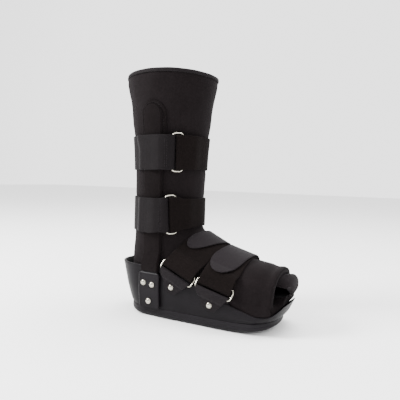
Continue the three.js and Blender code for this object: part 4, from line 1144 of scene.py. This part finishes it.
# A foot ring's own directions, tilted with the rim, and its middle above the rim
def footFrame(band):
    tilt = np.radians(band["tilt"])
    along = np.array([np.cos(tilt), 0, -np.sin(tilt)])
    up = np.array([np.sin(tilt), 0, np.cos(tilt)])
    return along, up, np.array([band["x"], 0, float(rimHeight(band["x"]))]) + up * band["above"]


# Row and turn of each edge of a strap at its upper bar, and its row at the crest
def footEdges(band):
    along, up, middle = footFrame(band)
    edges = []
    for u in (-1, 1):
        at = middle + up * band["barRise"] + along * u * strap["width"] / 2
        row, turn = linerPlace(at[0], at[2])
        edges.append((float(row), float(turn), crestRow(band["crest"] + u * band["half"])))
    return edges


# A point along an edge of the strap: the row goes to the crest's by a power of the share, the turn
# goes evenly over to the far side, and the point stays outside the shell
def footEdgePoint(edge, share, lift):
    row, turn, crest = edge
    part = 1 - 2 * share
    point = linerPoint(mix(crest, row, np.clip(np.abs(part), 0, 1) ** 1.5), turn * part, lift)
    least = shellHalf(point[..., 0], point[..., 2], 1.5) + lift
    y = point[..., 1]
    point[..., 1] = np.where(np.abs(y) < least, -np.sign(part) * least, y)
    return point


# A foot strap's way: shares and distances from the upper bar, measured along its middle
def footWay(band):
    edges = footEdges(band)
    share = np.linspace(0, 1, 49)
    middle = (footEdgePoint(edges[0], share, 0) + footEdgePoint(edges[1], share, 0)) / 2
    run = runOf(middle)

    def point(d, lift, u):
        d, lift, u = np.broadcast_arrays(d, lift, u)
        at = np.where(d <= 0, d * share[1] / run[1], np.interp(d, run, share))
        back, front = footEdgePoint(edges[0], at, lift), footEdgePoint(edges[1], at, lift)
        return mix(back, front, ((u + 1) / 2)[..., None])
    return run[-1], point


# A point of a tab: straight down from the ring's lower bar, on the shell's side
def tabPoint(band, d, lift, u):
    along, up, middle = footFrame(band)
    d, lift, u = np.broadcast_arrays(d, lift, u)
    at = middle + up * (-barSpan / 2 - d)[..., None] + along * (u * strap["width"] / 2)[..., None]
    at[..., 1] = -shellHalf(at[..., 0], np.minimum(at[..., 2], rimHeight(at[..., 0]))) - lift
    return at


# A foot ring's frame, from its upper bar on the strap and its lower one on the tab
def footRing(band):
    upper = footWay(band)[1](0 * ends, barLift(strap["pile"]) + 0 * ends, ends)
    lower = tabPoint(band, 0 * ends, barLift(tab["thickness"]) + 0 * ends, ends)
    return barFrame(upper, lower), np.linalg.norm((upper.sum(0) - lower.sum(0)) / 2)


for band in footStraps:
    band["barRise"] = barSpan / 2
    for _ in range(8):
        apart = footRing(band)[1]
        band["barRise"] = (band["barRise"] + barSpan / 2) * barSpan / apart - barSpan / 2


pile = {"end": 0.72, "slack": 5.0, "bulge": 0.08, "spare": 19.0}


# The pile strap: from its fold over the crest, wider in between by two smooth steps
def makePile(band):
    length, point = footWay(band)
    end = pile["end"] * length
    fold, low = foldedEnd(strap["pile"], strap["tail"], pile["slack"], strap["drop"])
    d = np.arange(fold[-1, 0] + 2, end, 2.0)
    path = smoothPath(np.concatenate([fold, np.stack([d, 0 * d + low - gap], -1)]))
    place = foldPlace(footRing(band)[0], 1, strap["pile"], strap["tail"], point)
    width = 1 + pile["bulge"] * ease((path[:, 0] - 4) / 22) * ease((0.55 * length - path[:, 0]) / 25)
    piece = bandPiece(band["name"] + "Strap", path, strap["pile"], place, "pileCloth", "pile_strap",
                      band["name"] + "_strap", width)


tongue = {"down": 0.74, "skewOver": 0.4, "hem": 2.2, "sewn": 88.0, "thread": 0.22}


# The tongue: over the pile strap from its round tip, then down to the far shell in a smooth step. Its
# tip is a quarter circle and moves aside by the skew, and its far end tapers to a round point.
def makeTongue(band):
    length, point = footWay(band)
    up = footFrame(band)[1]
    half = strap["width"] / 2
    low = 2 * gap + strap["thickness"] / 2
    high = low + strap["pile"] + 3.5 * gap
    start, end = band["end"] * length, length + band["barRise"] + barSpan / 2 + tab["reach"]
    tip, straight = 2 * tab["inset"], end - half
    rounded = np.linspace(0.05, np.pi / 2, 26)
    d = np.r_[start + half * (1 - np.cos(rounded)), np.arange(start + half + 1.2, straight, 1.4),
              straight + half * np.sin(np.linspace(0, np.pi / 2, 26)) * 0.999]
    down = ease((d - tongue["down"] * length) / strap["tail"])
    overFold = np.clip((strap["tail"] + strap["drop"] + 3 - d) / strap["drop"], 0, 1)
    lift = mix(high, low, down) + 2 * foldRadius(strap["pile"]) * overFold

    def pointed(d):
        return mix(band["point"], 1.0, ease((d - start) / (3 * half)))
    share = np.clip((d - straight) / half, 0, 1)
    taper = np.minimum(mix(1, tip / strap["width"], share), quarter(half * (1 - share) / tip, 0.004))
    width = np.where(d > straight, taper, quarter((d - start) / half, 0.002) * pointed(d))

    def place(d, lift, u):
        d, lift, u = np.broadcast_arrays(d, lift, u)
        past = np.clip(d - length, 0, None)
        shifted = u - band["skew"] * ease(1 - (d - start) / (tongue["skewOver"] * length))
        at = point(d, lift, shifted) - up * past[..., None]
        least = sideHalf(at[..., 0], at[..., 2]) + lift
        at[..., 1] = np.where(past > 0, np.maximum(at[..., 1], least), at[..., 1])
        return at
    # The tongue takes the paler copy of the smooth strap's cloth: painted light on its upward face
    piece = bandPiece(band["name"] + "Tongue", np.stack([d, lift], -1), strap["thickness"], place,
                      "tongueStrap", "smooth_strap", band["name"] + "_tongue", width)
    s = np.linspace(-np.pi / 2, np.pi / 2, 90)
    edgeD = np.linspace(start + tongue["sewn"], start + half, 50)
    rimD = np.r_[edgeD, start + half - (half - tongue["hem"]) * np.cos(s), edgeD[::-1]]
    rimU = np.r_[np.full(50, -1.0), np.sin(s), np.full(50, 1.0)]
    rimU = rimU * (1 - tongue["hem"] / half) * pointed(rimD)
    rimLift = np.interp(rimD, d, lift) + strap["thickness"] / 2
    line = place(rimD, rimLift, rimU)
    stitchPiece(band["name"] + "TongueStitch", [(line, place(rimD, rimLift + 1, rimU) - line)],
                "smooth_strap", tongue["thread"])


# The tab: a fold round the lower bar, then down the shell, tapering evenly to a round point
def makeTab(band):
    tail, reach, tip = tab["tail"], tab["reach"], 2 * tab["inset"]
    fold, low = foldedEnd(tab["thickness"], tail, 0, tab["drop"])
    rest = np.arange(fold[-1, 0] + 0.8, reach - 0.05, 0.7)
    path = smoothPath(np.concatenate([fold, np.stack([rest, 0 * rest + low - gap], -1)]), 0.7, 2)
    d = np.clip(path[:, 0], 0, reach)
    width = np.minimum(mix(1, tip / strap["width"], d / reach), quarter((reach - d) / tip, 0.01))
    width = np.where(runOf(path) < tail + 1, 1.0, width)
    place = foldPlace(footRing(band)[0], -1, tab["thickness"], tail + tab["drop"],
                      lambda d, lift, u: tabPoint(band, d, lift, u))
    piece = bandPiece(band["name"] + "Tab", path, tab["thickness"], place, "tabWebbing", "tab_webbing",
                      band["name"] + "_tab", width)


for band in footStraps:
    makePile(band)
    makeTongue(band)
    makeTab(band)
print("foot straps made")


# Rings: round wire, drawn a little thinner than the solid's
ringLook = {"wire": 2.4, "length": 56.6, "sides": 18, "cornerPoints": 12}


# A circle carried along a rounded rectangle in the ring's own frame
def ringMesh(axes):
    wire, corner = ringLook["wire"], ring["corner"]
    reach = np.array([barSpan, ringLook["length"] - wire]) / 2 - corner
    turn = np.linspace(0, np.pi / 2, ringLook["cornerPoints"])
    corners = []
    for quarters, signs in enumerate(((1, 1), (-1, 1), (-1, -1), (1, -1))):
        at = turn + quarters * np.pi / 2
        corners.append(signs * reach + corner * np.stack([np.cos(at), np.sin(at)], -1))
    path = np.concatenate(corners)
    way = unit(np.roll(path, -1, 0) - np.roll(path, 1, 0))
    side = np.stack([way[:, 1], -way[:, 0]], -1)
    t = circle(ringLook["sides"])
    flat = path[:, None] + side[:, None] * (wire / 2 * np.cos(t))[None, :, None]
    points = axes["middle"] + flat[..., :1] * axes["away"] + flat[..., 1:] * axes["along"] \
        + (wire / 2 * np.sin(t))[None, :, None] * axes["out"]
    return solid(points, ringFaces(len(path), len(t)))


frames = [legFrame(band) for band in legStraps] + [footRing(band)[0] for band in footStraps]
for band, axes in zip(legStraps + footStraps, frames):
    finishPiece(band["name"] + "Ring", *ringMesh(axes), "nickel", "ring_wire", "ring_" + band["name"])


# Rivets: places in the strut's plate as name, x and z; the others follow the tabs
rivetPlaces = [("back", -10.0, 50.0), ("front", 5.0, 48.5), ("low", -1.5, 24.0)]


# A domed head with a thin rim, turned from a profile, lying on the highest point of what it holds
def rivetMesh(x, z, side, stack):
    radius = rivet["width"] / 2 * rivet["drawn"]
    reach = np.array([-radius, 0, radius])
    lift = shellHalf(x + reach[:, None], z + reach[None]).max() + stack + gap
    a = np.linspace(0, np.pi / 2, 14)[1:]
    least, rim = 0.001, 0.62
    across = np.r_[least, radius * 0.98, radius, radius, radius * 0.93, radius * 0.9 * np.cos(a)]
    high = np.r_[0, 0, 0.12, 0.5, rim, rim + (rivet["dome"] - rim) * np.sin(a)]
    across[-1] = least
    t = circle(40)
    points = np.stack([x + across[:, None] * np.cos(t), -side * (lift + high[:, None] + 0 * t),
                       z + across[:, None] * np.sin(t)], -1)
    return solid(points, tubeFaces(len(across), len(t)))


for hand, side in (("right", 1), ("left", -1)):
    spots = [(name, x, z, 2 * gap + strut["plateThickness"]) for name, x, z in rivetPlaces]
    for band in footStraps:
        _, up, middle = footFrame(band)
        at = middle + up * (-barSpan / 2 - tab["reach"] + tab["inset"])
        spots.append((band["name"], at[0], at[2], 2 * gap + tab["thickness"]))
    for name, x, z, stack in spots:
        ending = name + "_" + hand
        finishPiece("rivetHead_" + ending, *rivetMesh(x, z, side, stack), "nickel", "rivet_metal",
                    "rivet_" + ending)
print("rings and rivets made")


# A matt white floor, and a world that is brighter behind the boot and above it: the larger of a share
# of y plus a constant and a share of z, doubled and added to a low level
def addStage():
    mesh = bpy.data.meshes.new("floor")
    corners = [(-6, -6, 0), (6, -6, 0), (6, 6, 0), (-6, 6, 0)]
    mesh.from_pydata(corners, [], [(0, 1, 2, 3)])
    floor = bpy.data.objects.new("floor", mesh)
    bpy.context.scene.collection.objects.link(floor)
    material = bpy.data.materials.new("paleFloor")
    material.use_nodes = True
    shader = material.node_tree.nodes["Principled BSDF"]
    shader.inputs["Base Color"].default_value = (0.97, 0.97, 0.97, 1)
    shader.inputs["Roughness"].default_value = 1.0
    mesh.materials.append(material)
    world = bpy.data.worlds.new("studio")
    world.use_nodes = True
    tree = world.node_tree
    tree.nodes["Background"].inputs["Color"].default_value = (1, 1, 1, 1)
    where = tree.nodes.new("ShaderNodeTexCoord")
    split = tree.nodes.new("ShaderNodeSeparateXYZ")
    tree.links.new(where.outputs["Generated"], split.inputs[0])
    behind = math(tree, "ADD", math(tree, "MULTIPLY", split.outputs["Y"], 0.9), 0.35, True)
    high = math(tree, "MAXIMUM", behind, math(tree, "MULTIPLY", split.outputs["Z"], 0.9))
    strength = math(tree, "ADD", math(tree, "MULTIPLY", high, 2.0), 0.6)
    tree.links.new(strength, tree.nodes["Background"].inputs["Strength"])
    bpy.context.scene.world = world


# A round lamp turned from its place to what it is aimed at
def addLight(name, place, aim, size, watts):
    light = bpy.data.lights.new(name, "AREA")
    light.energy = watts
    light.shape = "DISK"
    light.size = size
    lamp = bpy.data.objects.new(name, light)
    lamp.location = place
    lamp.rotation_euler = (Vector(aim) - Vector(place)).to_track_quat("-Z", "Y").to_euler()
    bpy.context.scene.collection.objects.link(lamp)


# The camera looks level along a heading, a little rolled, as in the photograph
view = {"place": (0.2806, -0.5993, 0.2025), "heading": 26.0, "roll": 1.6, "lens": 40.27, "shiftY": -0.055}


# The heading and the roll turn the camera's right and up, and it looks at right angles to both
def addCamera():
    camera = bpy.data.cameras.new("camera")
    camera.lens = view["lens"]
    camera.sensor_width = 36
    camera.shift_y = view["shiftY"]
    camera.clip_start = 0.01
    heading, roll = np.radians(view["heading"]), np.radians(view["roll"])
    forward = np.array([-np.sin(heading), np.cos(heading), 0])
    right = np.array([np.cos(heading), np.sin(heading), 0])
    up = np.array([0, 0, 1.0])
    right, up = right * np.cos(roll) + up * np.sin(roll), up * np.cos(roll) - right * np.sin(roll)
    turn = Matrix([[*row] for row in np.stack([right, up, -forward], 1)]).to_4x4()
    body = bpy.data.objects.new("camera", camera)
    body.matrix_world = Matrix.Translation(view["place"]) @ turn
    bpy.context.scene.collection.objects.link(body)
    bpy.context.scene.camera = body


addStage()
addLight("key", (-1.3, -0.9, 1.3), (0, 0, 0.15), 0.8, 90)
addLight("fill", (1.3, -1.1, 0.9), (0, 0, 0.12), 1.4, 14)
addLight("top", (0.3, 0.4, 1.9), (0, 0, 0.1), 1.2, 45)
addCamera()
